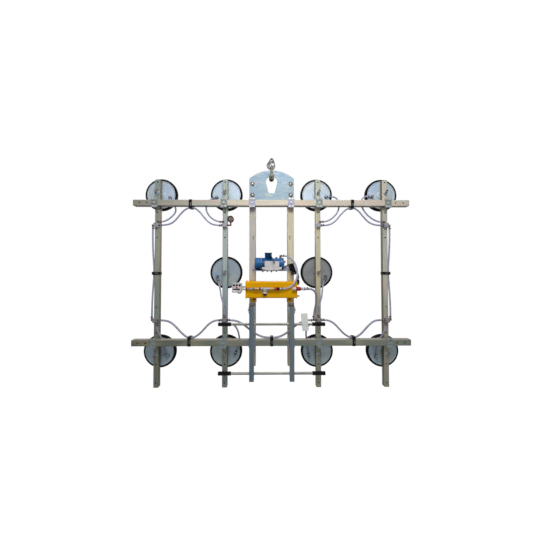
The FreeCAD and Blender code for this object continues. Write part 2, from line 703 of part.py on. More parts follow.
def through_bolt(x, z, face, back, radius, head_radius, head_height):
    """A bolt along Y with a hexagonal head on its front face and a nut on its back face."""
    shank = Part.makeCylinder(radius, back - face + head_height, Vector(0, face, 0), Vector(0, 1, 0))
    head = hexagon(head_radius, face - head_height, head_height)
    solid = shank.fuse([head, hexagon(head_radius, back, head_height)])
    solid.translate(Vector(x, 0, z))
    return solid


def domed_bolt(x, z, face, back):
    """A bolt along Y with a domed head in front of the lifting plate and a nut behind its post."""
    radius = s.plate_bolt_head_radius.value
    height = s.plate_bolt_head_height.value
    sphere_radius = (radius ** 2 + height ** 2) / (2 * height)
    ball = Part.makeSphere(sphere_radius, Vector(0, face - height + sphere_radius, 0))
    head = ball.common(Part.makeCylinder(radius, height, Vector(0, face - height, 0), Vector(0, 1, 0)))
    shank = Part.makeCylinder(s.plate_bolt_radius.value, back - face + height, Vector(0, face, 0), Vector(0, 1, 0))
    solid = head.fuse([shank, hexagon(radius, back, height)])
    solid.translate(Vector(x, 0, z))
    return solid


def make_bolts():
    bolts = []
    sizes = (s.bolt_radius.value, s.bolt_head_radius.value, s.bolt_head_height.value)
    clamp_face = (front - s.beam_side - s.clamp_thickness).value
    backs = [(front + s.carrier_side).value] * 4 + [(front + s.post_side).value] * 2
    for level in (top_beam_level.value, low_beam_level.value):
        for column, back in zip(clamp_columns(), backs):
            for x in SIDES:
                for z in SIDES:
                    bolts.append(through_bolt(
                        column.value + x * s.clamp_column.value / 2, level + z * s.clamp_row.value / 2,
                        clamp_face, back, *sizes))
            stub = Part.makeCylinder(sizes[0], (s.clamp_thickness + s.beam_wall).value,
                                     Vector(0, clamp_face, 0), Vector(0, 1, 0))
            stub = stub.fuse(hexagon(sizes[1], clamp_face - sizes[2], sizes[2]))
            stub.translate(Vector(column.value, 0, level))
            bolts.append(stub)
    for side in SIDES:
        for step in range(2):
            level = -s.plate_bolt_drop.value - step * s.plate_bolt_pitch.value
            bolts.append(domed_bolt(side * s.post_spacing.value / 2, level, -front.value,
                                    (front + s.post_side).value))
        for inset, level, face in mounting_bolts():
            bolts.append(through_bolt(side * (s.post_spacing.value / 2 - number(inset)), level.value, face.value,
                                      (front + s.post_side).value, *sizes))
    shaped("frame_bolts", Part.makeCompound(bolts))


# Lifting plate, shackle, hook and latch

def make_lifting_plate():
    body = new_body("lifting_plate_body")
    half = (s.post_spacing + s.post_side) / 2
    face = sketch(body, "face", "XZ_Plane")
    outline(face, [
        (-half, -s.plate_hem_drop, s.plate_hem_radius), (half, -s.plate_hem_drop),
        (half, -s.plate_shoulder_drop, s.plate_crown_radius), (-half, -s.plate_shoulder_drop),
    ])
    pad(body, face, s.plate_thickness, away=True)
    window = sketch(body, "window", "XZ_Plane", s.overrun)
    waist = s.window_foot_half
    foot = -s.window_foot_drop
    shoulder = -s.window_top_drop - s.window_radius
    outline(window, [
        (s.window_radius, shoulder, s.window_radius), (0, -s.window_top_drop, s.window_radius),
        (-s.window_radius, shoulder), (-waist, foot + s.window_corner, s.window_corner),
        (-waist + s.window_corner, foot), (waist - s.window_corner, foot, s.window_corner),
        (waist, foot + s.window_corner),
    ])
    for side in SIDES:
        for step in range(2):
            circle(window, side * s.post_spacing / 2, -s.plate_bolt_drop - step * s.plate_bolt_pitch,
                   s.plate_bolt_radius + s.bolt_clearance)
    pocket(body, window)
    place(body, 0, -front, 0)
    node("lifting_plate", body)


def make_shackle():
    """A bow shackle: a bent bar with a bored ear at each end, and a pin with head and nut."""
    bar = s.shackle_bar_radius.value
    reach = (s.shackle_mouth / 2 + s.shackle_bar_radius).value
    outer = reach + bar
    pin_level = -(s.window_top_drop + s.shackle_pin_clearance + s.shackle_pin_radius).value
    bend_level = -s.shackle_bow_drop.value - reach
    foot = Vector(0, -reach, pin_level)
    begin = Vector(0, -reach, bend_level)
    finish = Vector(0, reach, bend_level)
    edges = [
        Part.LineSegment(foot, begin).toShape(),
        Part.Arc(begin, Vector(0, 0, bend_level + reach), finish).toShape(),
        Part.LineSegment(finish, Vector(0, reach, pin_level)).toShape(),
    ]
    bow, length = swept(edges, bar, Vector(0, 0, 1))
    along = Vector(0, 1, 0)
    ears = [
        Part.makeCylinder(s.shackle_ear_radius.value, 2 * bar, Vector(0, side * reach - bar, pin_level), along)
        for side in SIDES
    ]
    over = s.overrun.value
    pin_radius = s.shackle_pin_radius.value
    bore = Part.makeCylinder(pin_radius + s.shackle_pin_clearance.value, 2 * (outer + over),
                             Vector(0, -outer - over, pin_level), along)
    height = s.shackle_nut_height.value
    pin = Part.makeCylinder(pin_radius, 2 * outer, Vector(0, -outer, 0), along)
    nut = hexagon(s.shackle_nut_radius.value, -outer - height, height)
    head = Part.makeCylinder(s.shackle_nut_radius.value, height, Vector(0, outer, 0), along)
    pin = pin.fuse([nut, head])
    pin.translate(Vector(0, 0, pin_level))
    shaped("lifting_shackle", Part.makeCompound([bow.fuse(ears).cut(bore), pin]))


def make_hook():
    """A safety hook: eye, back, bowl round the shackle's bow, tip, and a slotted lug for the latch."""
    seat = s.shackle_bar_radius + s.hook_seat_gap
    level = -s.shackle_bow_drop
    tip = s.hook_tip_reach
    rise = level + s.hook_tip_rise
    body = new_body("hook_blank")
    face = sketch(body, "face", "XZ_Plane")
    outline(face, [
        (s.eye_radius, 0, s.eye_radius), (0, s.eye_radius, s.eye_radius), (-s.eye_radius, 0),
        (-s.hook_back_reach, rise, s.hook_back_reach), (0, level - s.hook_bowl_radius, s.hook_tip_reach),
        (tip, level), (tip - s.hook_tip_width / 4, rise), (tip - s.hook_tip_width, rise), (seat, level, -seat),
        (0, level - seat, -seat), (-seat, level), (-s.hook_throat_reach, level + s.hook_throat_rise),
        (s.hook_neck_reach, -s.hook_neck_drop), (s.hook_chin_reach, -s.hook_chin_drop),
        (s.hook_lug_reach, -s.hook_lug_drop - s.hook_lug_height), (s.hook_lug_reach, -s.hook_lug_drop),
    ])
    circle(face, 0, 0, s.eye_bore_radius)
    pin_bore = s.latch_pin_radius + s.latch_pin_clearance
    circle(face, s.latch_pin_reach, -s.latch_pin_drop, pin_bore)
    pad(body, face, s.hook_thickness)
    place(body, 0, s.hook_thickness / 2, 0)
    slot_width = s.latch_thickness + 2 * s.latch_side_gap
    slot = block("latch_slot", s.latch_slot_reach, -slot_width / 2, -s.hook_chin_drop - s.overrun,
                 s.hook_lug_reach, slot_width, s.hook_chin_drop + s.overrun - s.latch_slot_drop)
    node("hook_body", cut("hook_slotted", body, slot))


def make_latch():
    """A latch that turns on its own pin between the lug's cheeks and closes the hook's throat."""
    body = new_body("latch_plate")
    face = sketch(body, "face", "XZ_Plane")
    half = s.latch_half_width
    outline(face, [
        (half, 0, half), (0, half, half), (-half, 0),
        (s.latch_slant - half, -s.latch_length + half), (s.latch_slant, -s.latch_length),
        (s.latch_slant + half, -s.latch_length + half),
    ])
    pad(body, face, s.latch_thickness)
    place(body, s.latch_pin_reach, s.latch_thickness / 2, -s.latch_pin_drop)
    pin = rod("latch_pin", "Y", s.latch_pin_reach, -s.hook_thickness / 2, -s.latch_pin_drop, s.latch_pin_radius,
              s.hook_thickness)
    node("hook_latch", fuse("latch", body, pin))


# Suction pads

def pad_centre(name):
    side, column, row, elbow, outlet = PADS[name]
    return side * COLUMNS[column], -s.pad_drop - row * s.pad_pitch


def pad_plate(name):
    """A disc with its rim and hub, and the stud that slides through the carrier, turned about Y."""
    stop = -s.disc_standoff - s.carrier_side - s.collar_gap
    x, z = pad_centre(name)
    profile = [
        (stop - s.collar_height - s.stud_overhang, 0), (stop - s.collar_height - s.stud_overhang, s.stud_radius),
        (stop - s.collar_height, s.stud_radius), (stop - s.collar_height, s.collar_radius),
        (stop, s.collar_radius), (stop, s.stud_radius), (-s.hub_height, s.stud_radius),
        (-s.hub_height, s.hub_radius), (0, s.hub_radius + s.hub_height),
        (0, s.disc_radius - s.disc_rim_width), (-s.disc_rim_height, s.disc_radius - s.disc_rim_width / 2),
        (-s.disc_rim_height, s.disc_radius), (s.disc_thickness, s.disc_radius), (s.disc_thickness, 0),
    ]
    body = turned(f"disc_{name}", profile, "Y")
    place(body, x, disc_front, z)
    return body


def pad_elbow(name):
    """A hose elbow on the disc: an upright body with its outlet along the disc."""
    x, z = pad_centre(name)
    bearing, outlet = PADS[name][3:]
    foot_x = x.value + s.elbow_offset.value * math.cos(math.radians(bearing))
    foot_z = z.value + s.elbow_offset.value * math.sin(math.radians(bearing))
    base = disc_front.value
    upright = Part.makeCylinder(s.elbow_radius.value, s.elbow_height.value,
                                Vector(foot_x, base, foot_z), Vector(0, -1, 0))
    along = Vector(math.cos(math.radians(outlet)), 0, math.sin(math.radians(outlet)))
    level = base - s.elbow_height.value + s.outlet_drop.value
    middle = Vector(foot_x, level, foot_z)
    spout = Part.makeCylinder(s.outlet_radius.value, s.outlet_length.value, middle, along)
    return upright.fuse(spout).removeSplitter(), middle + along * s.outlet_length.value, along


def make_pads():
    ports = {}
    for name in PADS:
        elbow, end, along = pad_elbow(name)
        ports[name] = (end, along)
        fitting = doc.addObject("Part::Feature", f"elbow_{name}")
        fitting.Shape = elbow
        fitting.Placement = Placement()
        node(f"pad_plate_{name}", pad_plate(name), fitting)
        make_seal(name)
    return ports


def make_seal(name):
    """A rubber ring round the disc's edge and over its back, with a lip that meets the panel."""
    x, z = pad_centre(name)
    land = s.disc_radius - s.seal_land
    back = s.disc_thickness
    face = -s.disc_rim_height / 2
    profile = [
        (face, s.disc_radius), (face, s.pad_radius - s.seal_lip / 2), (face + s.seal_lip / 2, s.pad_radius),
        (s.seal_depth - s.seal_lip, s.pad_radius), (s.seal_depth, s.pad_radius - s.seal_lip / 4),
        (s.seal_depth, s.pad_radius - s.seal_lip), (back + s.seal_lip, s.disc_radius),
        (back + s.seal_lip, land), (back, land), (back, s.disc_radius),
    ]
    body = turned(f"ring_{name}", profile, "Y")
    place(body, x, disc_front, z)
    node(f"pad_seal_{name}", body)


def make_springs():
    """Coil springs that push each pad away from its carrier."""
    points, tangents = winding(s.spring_radius.value, s.spring_pitch.value, SPRING_QUARTERS)
    wire = s.spring_wire_radius.value
    solid, length = swept(helix_edges(points, tangents), wire, tangents[0])
    print(f"spring: gap {self_gap(Part.Wire(helix_edges(points, tangents)), wire):.2f}")
    solid.rotate(Vector(), Vector(1, 0, 0), -90)
    springs = []
    foot = (front + s.carrier_side + s.spring_gap + s.spring_wire_radius).value
    for name in PADS:
        x, z = pad_centre(name)
        spring = solid.copy()
        spring.translate(Vector(x.value, foot, z.value))
        springs.append(spring)
    shaped("pad_springs", Part.makeCompound(springs))


# Vacuum tank

tank_back = front - s.tank_lug_thickness
tank_front = tank_back - s.tank_depth
tank_left = s.tank_offset - s.tank_length / 2
tank_right = s.tank_offset + s.tank_length / 2
tank_floor = -tank_drop - s.tank_height


def make_tank():
    """A hollow welded tank with proud end plates and two lugs against the posts."""
    body = new_body("tank_shell")
    section = sketch(body, "section", "YZ_Plane")
    wall = s.tank_wall
    rounded_rectangle(section, -s.tank_depth, 0, s.tank_depth, s.tank_height, s.tank_corner)
    rounded_rectangle(section, wall - s.tank_depth, wall, s.tank_depth - 2 * wall, s.tank_height - 2 * wall,
                      s.tank_corner - wall)
    pad(body, section, s.tank_length)
    place(body, tank_left, tank_back, tank_floor)
    pieces = [body]
    over = s.tank_end_overhang
    for x in (tank_left - s.tank_end_thickness, tank_right):
        pieces.append(block("tank_end", x, tank_front - over, tank_floor - over, s.tank_end_thickness,
                            s.tank_depth + 2 * over, s.tank_height + 2 * over))
    cutters = []
    bolt_level = tank_floor - s.tank_lug_height + s.tank_bolt_rise
    for side in SIDES:
        middle = side * (s.post_spacing / 2 - s.tank_lug_shift)
        pieces.append(block("tank_lug", middle - s.tank_lug_width / 2, tank_back, tank_floor - s.tank_lug_height,
                            s.tank_lug_width, s.tank_lug_thickness, s.tank_lug_height + s.tank_lug_lap))
        cutters.append(rod("tank_lug_hole", "Y", middle, tank_back - s.overrun, bolt_level,
                           s.bolt_radius + s.bolt_clearance, s.tank_lug_thickness + 2 * s.overrun))
    node("vacuum_tank", cut("tank", fuse("tank_welded", *pieces), fuse("tank_lug_holes", *cutters)))


def make_brackets():
    """The pump's rail across the posts, and the arm that carries the monitor on the tank's end."""
    half = s.rail_length / 2
    flange = block("rail_flange", -half, front - s.rail_thickness, -s.rail_drop, s.rail_length, s.rail_thickness,
                   s.rail_height)
    shelf = block("rail_shelf", s.shelf_start, front - s.rail_depth, -s.rail_drop, s.shelf_length,
                  s.rail_depth - s.rail_thickness, s.rail_thickness)
    holes = []
    for side in SIDES:
        holes.append(rod("rail_hole", "Y", side * (half - s.rail_bolt_inset), front - s.rail_thickness - s.overrun,
                         -s.rail_drop + s.rail_bolt_rise, s.bolt_radius + s.bolt_clearance,
                         s.rail_thickness + 2 * s.overrun))
    rail = cut("pump_rail", fuse("rail_angle", flange, shelf), fuse("rail_holes", *holes))
    end = tank_left - s.tank_end_thickness
    monitor_back = front - s.monitor_reach + s.monitor_depth
    low = -arm_drop - s.arm_height
    foot = block("arm_foot", end - s.arm_thickness, monitor_back, low, s.arm_thickness, s.arm_depth, s.arm_height)
    reach = block("arm_reach", end - s.arm_thickness - s.arm_lap, monitor_back, low, s.arm_thickness + s.arm_lap,
                  s.arm_thickness, s.arm_height)
    node("support_brackets", rail, fuse("monitor_arm", foot, reach))


# Pump

pump_y = front - s.pump_axis_reach
pump_z = -pump_drop
motor_start = s.cowl_end + s.cowl_length - s.cowl_lap
pump_start = motor_start + s.motor_length
shelf_top = -s.rail_drop + s.rail_thickness


def pump_foot(name, x):
    return block(name, x, pump_y - s.foot_width / 2, shelf_top, s.foot_length, s.foot_width,
                 pump_z - s.motor_radius / 2 - shelf_top)


def make_motor():
    body = new_body("motor_shell")
    section = sketch(body, "section", "YZ_Plane")
    circle(section, 0, 0, s.motor_radius)
    pad(body, section, s.motor_length)
    rib = sketch(body, "fin", "YZ_Plane")
    outline(rib, [
        (-s.fin_thickness / 2, s.motor_radius - s.fin_height / 2),
        (s.fin_thickness / 2, s.motor_radius - s.fin_height / 2),
        (s.fin_thickness / 2, s.motor_radius + s.fin_height), (-s.fin_thickness / 2, s.motor_radius + s.fin_height),
    ])
    fin = pad(body, rib, s.motor_length)
    polar_pattern(body, fin, rib, "N_Axis", FIN_COUNT)
    place(body, motor_start, pump_y, pump_z)
    bore = rod("motor_bore", "X", motor_start - s.overrun, pump_y, pump_z, s.shaft_radius + s.shaft_clearance,
               s.shaft_seat + s.overrun)
    foot = pump_foot("motor_foot", motor_start + s.foot_inset)
    node("motor_housing", cut("motor", fuse("motor_cast", body, foot), bore))


def make_cowl():
    corner = s.cowl_corner
    wall = s.cowl_wall
    radius = s.cowl_radius
    body = turned("cowl", [
        (0, 0), (0, radius - corner, -corner), (corner, radius), (s.cowl_length, radius),
        (s.cowl_length, radius - wall), (corner, radius - wall, corner - wall), (wall, radius - corner), (wall, 0),
    ], "X")
    slot = sketch(body, "slot", "YZ_Plane", wall + s.overrun)
    half = s.cowl_slot_width / 2
    outline(slot, [
        (-half, s.cowl_slot_foot), (half, s.cowl_slot_foot), (half, s.cowl_slot_foot + s.cowl_slot_length),
        (-half, s.cowl_slot_foot + s.cowl_slot_length),
    ])
    opening = pocket(body, slot)
    polar_pattern(body, opening, slot, "N_Axis", SLOT_COUNT)
    place(body, s.cowl_end, pump_y, pump_z)
    node("fan_cowl", body)


def make_fan():
    body = new_body("fan")
    hub = sketch(body, "hub", "YZ_Plane")
    circle(hub, 0, 0, s.fan_hub_radius)
    pad(body, hub, s.fan_length)
    vane = sketch(body, "vane", "YZ_Plane")
    half = s.fan_blade_thickness / 2
    foot = s.fan_hub_radius - s.fan_blade_thickness
    outline(vane, [(-half, foot), (half, foot), (half, s.fan_radius), (-half, s.fan_radius)])
    blade = pad(body, vane, s.fan_length)
    polar_pattern(body, blade, vane, "N_Axis", BLADE_COUNT)
    start = s.cowl_end + s.fan_end_gap
    place(body, start + s.fan_end_gap / 2, pump_y, pump_z)
    shaft = rod("motor_shaft", "X", start, pump_y, pump_z, s.shaft_radius, s.shaft_length)
    node("cooling_fan", fuse("fan_on_shaft", body, shaft))


def make_pump_housing():
    length = s.pump_length
    flange = s.pump_flange_length
    body = turned("pump_barrel", [
        (0, 0), (0, s.pump_flange_radius), (flange, s.pump_flange_radius), (flange, s.pump_radius),
        (length - flange, s.pump_radius), (length - flange, s.pump_flange_radius), (length, s.pump_flange_radius),
        (length, s.pump_cover_radius), (length + s.pump_cover_length, s.pump_cover_radius - s.pump_cover_length / 2),
        (length + s.pump_cover_length, 0),
    ], "X")
    place(body, pump_start, pump_y, pump_z)
    stub = rod("pump_stub", "Z", s.pump_stub_seat, pump_y, pump_z, s.pump_stub_radius, s.pump_stub_rise)
    foot = pump_foot("pump_foot", pump_start + s.foot_inset)
    plug = rod("pump_plug", "X", pump_start + length + s.pump_cover_length, pump_y, pump_z + s.pump_plug_rise,
               s.pump_plug_radius, s.pump_plug_length)
    node("pump_housing", fuse("pump_cast", body, stub, foot), plug)


def make_terminal_box():
    low = pump_y - s.terminal_width / 2
    box = block("terminal_case", s.terminal_start, low, pump_z + s.terminal_foot, s.terminal_length, s.terminal_width,
                s.terminal_rise - s.terminal_foot)
    saddle = rod("terminal_saddle", "X", s.terminal_start - s.overrun, pump_y, pump_z,
                 s.motor_radius + s.fin_height + s.saddle_gap, s.terminal_length + 2 * s.overrun)
    glands = [
        rod("terminal_gland", "Y", s.gland_offset, y, pump_z + s.gland_rise, s.gland_radius, s.gland_length)
        for y in (low - s.gland_length, low + s.terminal_width)
    ]
    node("terminal_box", fuse("terminal_joined", cut("terminal_seat", box, saddle), *glands))


def make_filter_box():
    low = front - s.filter_reach
    floor = shelf_top + s.filter_rise
    box = block("filter_case", s.filter_start, low, floor, s.filter_length, s.filter_depth, s.filter_height)
    ends = s.filter_cap_length + s.overrun
    saddle = rod("filter_saddle", "X", s.filter_start - ends, pump_y, pump_z, s.pump_flange_radius + s.saddle_gap,
                 s.filter_length + 2 * ends)
    seat = cut("filter_seat", box, saddle)
    caps = rod("filter_caps", "X", s.filter_start - s.filter_cap_length, low + s.filter_cap_inset,
               floor + s.filter_cap_rise, s.filter_cap_radius, s.filter_length + 2 * s.filter_cap_length)
    bare = cut("filter_cap_ends", caps, saddle)
    node("pump_filter_box", fuse("filter_joined", seat, bare))


# Manifold blocks, fittings, straps and gauge

def make_blocks():
    blocks = []
    for level in (-s.top_block_drop, -low_block_drop):
        for column in ("outer", "inner"):
            for side in SIDES:
                body = new_body("manifold_block")
                face = sketch(body, "face", "XZ_Plane")
                rounded_rectangle(face, -s.block_width / 2, -s.block_height / 2, s.block_width, s.block_height,
                                  s.block_chamfer)
                pad(body, face, s.block_depth)
                blocks.append(place(body, side * COLUMNS[column], front, level))
    node("manifold_blocks", *blocks)


def hex_bar(start, along, radius, length):
    points = []
    for corner in range(HEXAGON + 1):
        angle = 2 * math.pi * corner / HEXAGON
        points.append(Vector(radius * math.cos(angle), radius * math.sin(angle), 0))
    bar = Part.Face(Part.makePolygon(points)).extrude(Vector(0, 0, length))
    bar.Placement = Placement(start, Rotation(Vector(0, 0, 1), along))
    return bar


class Fittings:
    """The brass fittings of the hoses, and the ports that they offer as (point, direction)."""

    def __init__(self):
        self.solids = []
        self.ports = {}

    def nipple(self, name, start, along):
        self.solids.append(hex_bar(start, along, s.nipple_radius.value, s.nipple_length.value))
        self.ports[name] = (start + along * s.nipple_length.value, along)

    def elbow(self, name, start, first, rise, along, length):
        """A stub from a face, and a spout from the stub's end."""
        radius = s.fitting_radius.value
        corner = start + first * rise
        stub = Part.makeCylinder(radius, rise, start, first)
        spout = Part.makeCylinder(radius, length, corner, along)
        ball = Part.makeSphere(radius, corner)
        self.solids.append(stub.fuse([spout, ball]).removeSplitter())
        self.ports[name] = (corner + along * length, along)


def make_fittings():
    kit = Fittings()
    y = block_middle.value
    half_width = s.block_width.value / 2
    half_height = s.block_height.value / 2
    shift = s.fitting_shift.value
    up = Vector(0, 0, 1)
    down = -up
    for side, word in zip(SIDES, ("left", "right")):
        out = Vector(side, 0, 0)
        inward = -out
        outer = Vector(side * COLUMNS["outer"].value, y, -s.top_block_drop.value)
        inner = Vector(side * COLUMNS["inner"].value, y, -s.top_block_drop.value)
        fall = Vector(0, 0, (s.top_block_drop - low_block_drop).value)
        kit.nipple(f"top_outer_{word}", outer + inward * half_width, inward)
        kit.nipple(f"top_inner_{word}", inner + out * half_width, out)
        kit.elbow(f"outer_{word}_top", outer + inward * shift + up * half_height, up, s.fitting_rise.value, inward,
                  s.fitting_lead.value)
        kit.elbow(f"inner_{word}_top", inner + out * shift + up * half_height, up, s.fitting_rise.value, out,
                  s.fitting_lead.value)
        drop = s.drop_reach.value - half_width
        kit.elbow(f"drop_top_{word}", outer + out * half_width, out, drop, down, s.drop_rise.value)
        outer += fall
        inner += fall
        kit.elbow(f"drop_low_{word}", outer + out * half_width, out, drop, up, s.drop_rise.value)
        kit.nipple(f"low_outer_{word}", outer + inward * half_width, inward)
        kit.nipple(f"low_inner_{word}", inner + out * half_width, out)
        kit.nipple(f"middle_{word}", inner + inward * half_width, inward)
        kit.nipple(f"inner_{word}_mid", inner + up * half_height, up)
        kit.nipple(f"outer_{word}_low", outer + inward * shift + down * half_height, down)
        kit.elbow(f"inner_{word}_low", inner + inward * shift + down * half_height, down, s.fitting_rise.value,
                  inward, s.fitting_lead.value)
    tee_start, tee_along = kit.ports["middle_right"]
    length = s.tee_length.value
    radius = s.fitting_radius.value
    middle = tee_start + tee_along * (length / 2)
    tee = Part.makeCylinder(radius, length, tee_start, tee_along)
    kit.solids.append(tee.fuse(Part.makeCylinder(radius, s.tee_rise.value, middle, up)))
    kit.ports["middle_right"] = (tee_start + tee_along * length, tee_along)
    kit.ports["valve_end"] = (middle + up * s.tee_rise.value, up)
    make_gauge(kit, Vector(-COLUMNS["inner"].value + half_width, y, -s.top_block_drop.value))
    make_line_ports(kit)
    shaped("hose_fittings", Part.makeCompound(kit.solids))
    return kit.ports


def make_gauge(kit, start):
    """A round gauge on a bent stem, with its dial towards the front and a needle on a pin in the dial."""
    arm = s.gauge_arm_length.value
    radius = s.gauge_stem_radius.value
    rise = (s.gauge_rise - s.gauge_radius).value
    corner = start + Vector(arm, 0, 0)
    stem = Part.makeCylinder(radius, rise, corner, Vector(0, 0, 1))
    reach = Part.makeCylinder(radius, arm, start, Vector(1, 0, 0))
    kit.solids.append(stem.fuse([reach, Part.makeSphere(radius, corner)]).removeSplitter())
    x = -COLUMNS["inner"] + s.block_width / 2 + s.gauge_arm_length
    z = -s.top_block_drop + s.gauge_rise
    face = block_middle - s.gauge_depth / 2
    pin_bore = s.needle_pin_radius + s.needle_clearance
    dial = s.gauge_recess
    case = turned("gauge_cup", [
        (0, s.gauge_radius - s.gauge_rim), (0, s.gauge_radius), (s.gauge_depth, s.gauge_radius), (s.gauge_depth, 0),
        (dial + s.needle_pin_depth + s.needle_lift, 0), (dial + s.needle_pin_depth + s.needle_lift, pin_bore),
        (dial, pin_bore), (dial, s.gauge_radius - s.gauge_rim),
    ], "Y")
    stem_hole = rod("gauge_stem_hole", "Z", x, block_middle, z - s.gauge_radius - s.overrun, s.gauge_stem_radius,
                    s.overrun)
    place(case, x, face, z)
    node("gauge_case", cut("gauge_cup_seat", case, stem_hole))
    hand = new_body("needle_hand")
    shape = sketch(hand, "shape", "XZ_Plane")
    half = s.needle_width / 2
    outline(shape, [
        (half, -s.needle_hub_radius), (half, s.needle_radius - half), (0, s.needle_radius),
        (-half, s.needle_radius - half), (-half, -s.needle_hub_radius),
    ])
    pad(hand, shape, s.needle_thickness)
    place(hand, x, face + dial - s.needle_lift, z, Rotation(Vector(0, 1, 0), -135))
    boss = rod("needle_boss", "Y", x, face + dial - s.needle_lift - s.needle_thickness, z, s.needle_hub_radius,
               s.needle_thickness)
    pin = rod("needle_pin", "Y", x, face + dial - s.needle_lift, z, s.needle_pin_radius,
              s.needle_pin_depth + s.needle_lift)
    node("gauge_needle", fuse("needle", hand, boss, pin))


def make_line_ports(kit):
    """The pump hose's coupler on the vacuum line, the pump's port, and the tank's drain."""
    level = -line_drop.value
    y = (tank_front - s.line_reach).value
    start = (s.line_start + s.line_nose_length + s.pipe_length + s.coupling_length + s.line_tail_length
             + s.trap_length).value
    along = Vector(1, 0, 0)
    joint = Part.makeCylinder(s.joint_radius.value, s.joint_length.value, Vector(start, y, level), along)
    start += s.joint_length.value
    coupler = Part.makeCylinder(s.coupler_radius.value, s.coupler_length.value, Vector(start, y, level), along)
    kit.solids.append(joint.fuse(coupler))
    kit.ports["pump_end"] = (Vector(start + s.coupler_length.value, y, level), along)
    seat = Vector(s.pump_port_seat.value, pump_y.value, (pump_z + s.pump_radius).value)
    radius = s.pump_port_radius.value
    rise = (s.pump_port_rise - s.pump_radius).value
    top = seat + Vector(0, 0, rise)
    port = Part.makeCylinder(radius, rise, seat, Vector(0, 0, 1))
    spout = Part.makeCylinder(radius, s.pump_port_length.value, top, along)
    port = port.fuse([spout, Part.makeSphere(radius, top)]).removeSplitter()
    barrel = Part.makeCylinder((s.pump_radius + s.saddle_gap).value, s.pump_length.value,
                               Vector(pump_start.value, pump_y.value, pump_z.value), along)
    kit.solids.append(port.cut(barrel))
    kit.ports["pump_start"] = (top + along * s.pump_port_length.value, along)
    end = (tank_right + s.tank_end_thickness).value
    drain = Vector(end, (tank_front + s.drain_inset).value, (tank_floor + s.drain_rise).value)
    kit.solids.append(Part.makeCylinder(s.drain_radius.value, s.drain_length.value, drain, along))
    tail = s.valve_start + s.valve_stub_length + s.valve_body_length + s.valve_tail_length
    kit.ports["valve_start"] = (Vector(tail.value, y, level), along)


def strap(name, plane, low_x, low_y, width, height):
    """A band of rectangular section round a tube and the hose beside it."""
    body = new_body(name)
    ring = sketch(body, "ring", plane)
    thick = s.strap_thickness
    rounded_rectangle(ring, low_x, low_y, width, height, s.tube_corner)
    rounded_rectangle(ring, low_x - thick, low_y - thick, width + 2 * thick, height + 2 * thick,
                      s.tube_corner + thick)
    pad(body, ring, s.strap_width)
    return body


def make_straps():
    straps = []
    gap = s.strap_gap
    half_beam = s.beam_side / 2 + gap
    width = s.beam_side + 2 * gap
    slim = 2 * s.slim_hose_radius + s.strap_slack
    main = 2 * s.main_hose_radius + s.strap_slack
    for side in SIDES:
        body = strap("top_strap", "YZ_Plane", -half_beam, -half_beam - slim, width, width + slim)
        straps.append(place(body, side * s.strap_top_offset - s.strap_width / 2, beam_middle, top_beam_level))
    for side in (-1, 0, 1):
        body = strap("low_strap", "YZ_Plane", -half_beam, -half_beam, width, width + main)
        straps.append(place(body, side * s.strap_low_offset - s.strap_width / 2, beam_middle, low_beam_level))
    half = s.carrier_side / 2 + gap
    width = s.carrier_side + 2 * gap
    for side in SIDES:
        reach = half + slim if side < 0 else half
        body = strap("side_strap", "XY_Plane", -reach, -half, width + slim, width)
        straps.append(place(body, side * COLUMNS["outer"], carrier_middle, -s.strap_side_drop - s.strap_width / 2))
    node("hose_straps", *straps)


# Vacuum line, line filter and hand valve on the tank's front

line_y = tank_front - s.line_reach
line_z = -line_drop


def make_vacuum_line():
    nose = s.line_nose_length
    pipe = nose + s.pipe_length
    coupling = pipe + s.coupling_length
    body = turned("line_pipe", [
        (0, 0), (0, s.line_nose_radius), (nose, s.line_nose_radius), (nose, s.pipe_radius), (pipe, s.pipe_radius),
        (pipe, s.coupling_radius), (coupling, s.coupling_radius), (coupling, s.pipe_radius),
        (coupling + s.line_tail_length, s.pipe_radius), (coupling + s.line_tail_length, 0),
    ], "X")
    place(body, s.line_start, line_y, line_z)
    stay = rod("line_stay", "Y", s.line_start + s.stay_offset, line_y, line_z, s.stay_radius, s.line_reach)
    node("vacuum_line", fuse("line_on_stay", body, stay))
    start = s.line_start + coupling + s.line_tail_length
    middle = start + s.trap_seat
    barrel = rod("trap_barrel", "X", start, line_y, line_z, s.trap_radius, s.trap_length)
    neck = rod("trap_neck", "Z", middle, line_y, line_z - s.trap_neck_height, s.trap_neck_radius, s.trap_neck_height)
    bowl = rod("trap_bowl", "Z", middle, line_y, line_z - s.trap_neck_height - s.trap_bowl_height, s.trap_bowl_radius,
               s.trap_bowl_height)
    tip = rod("trap_tip", "Z", middle, line_y,
              line_z - s.trap_neck_height - s.trap_bowl_height - s.trap_nose_height, s.trap_nose_radius,
              s.trap_nose_height)
    branch = rod("trap_branch", "Y", middle, line_y, line_z, s.joint_radius, s.line_reach)
    node("line_filter", fuse("trap", barrel, neck, bowl, tip, branch))


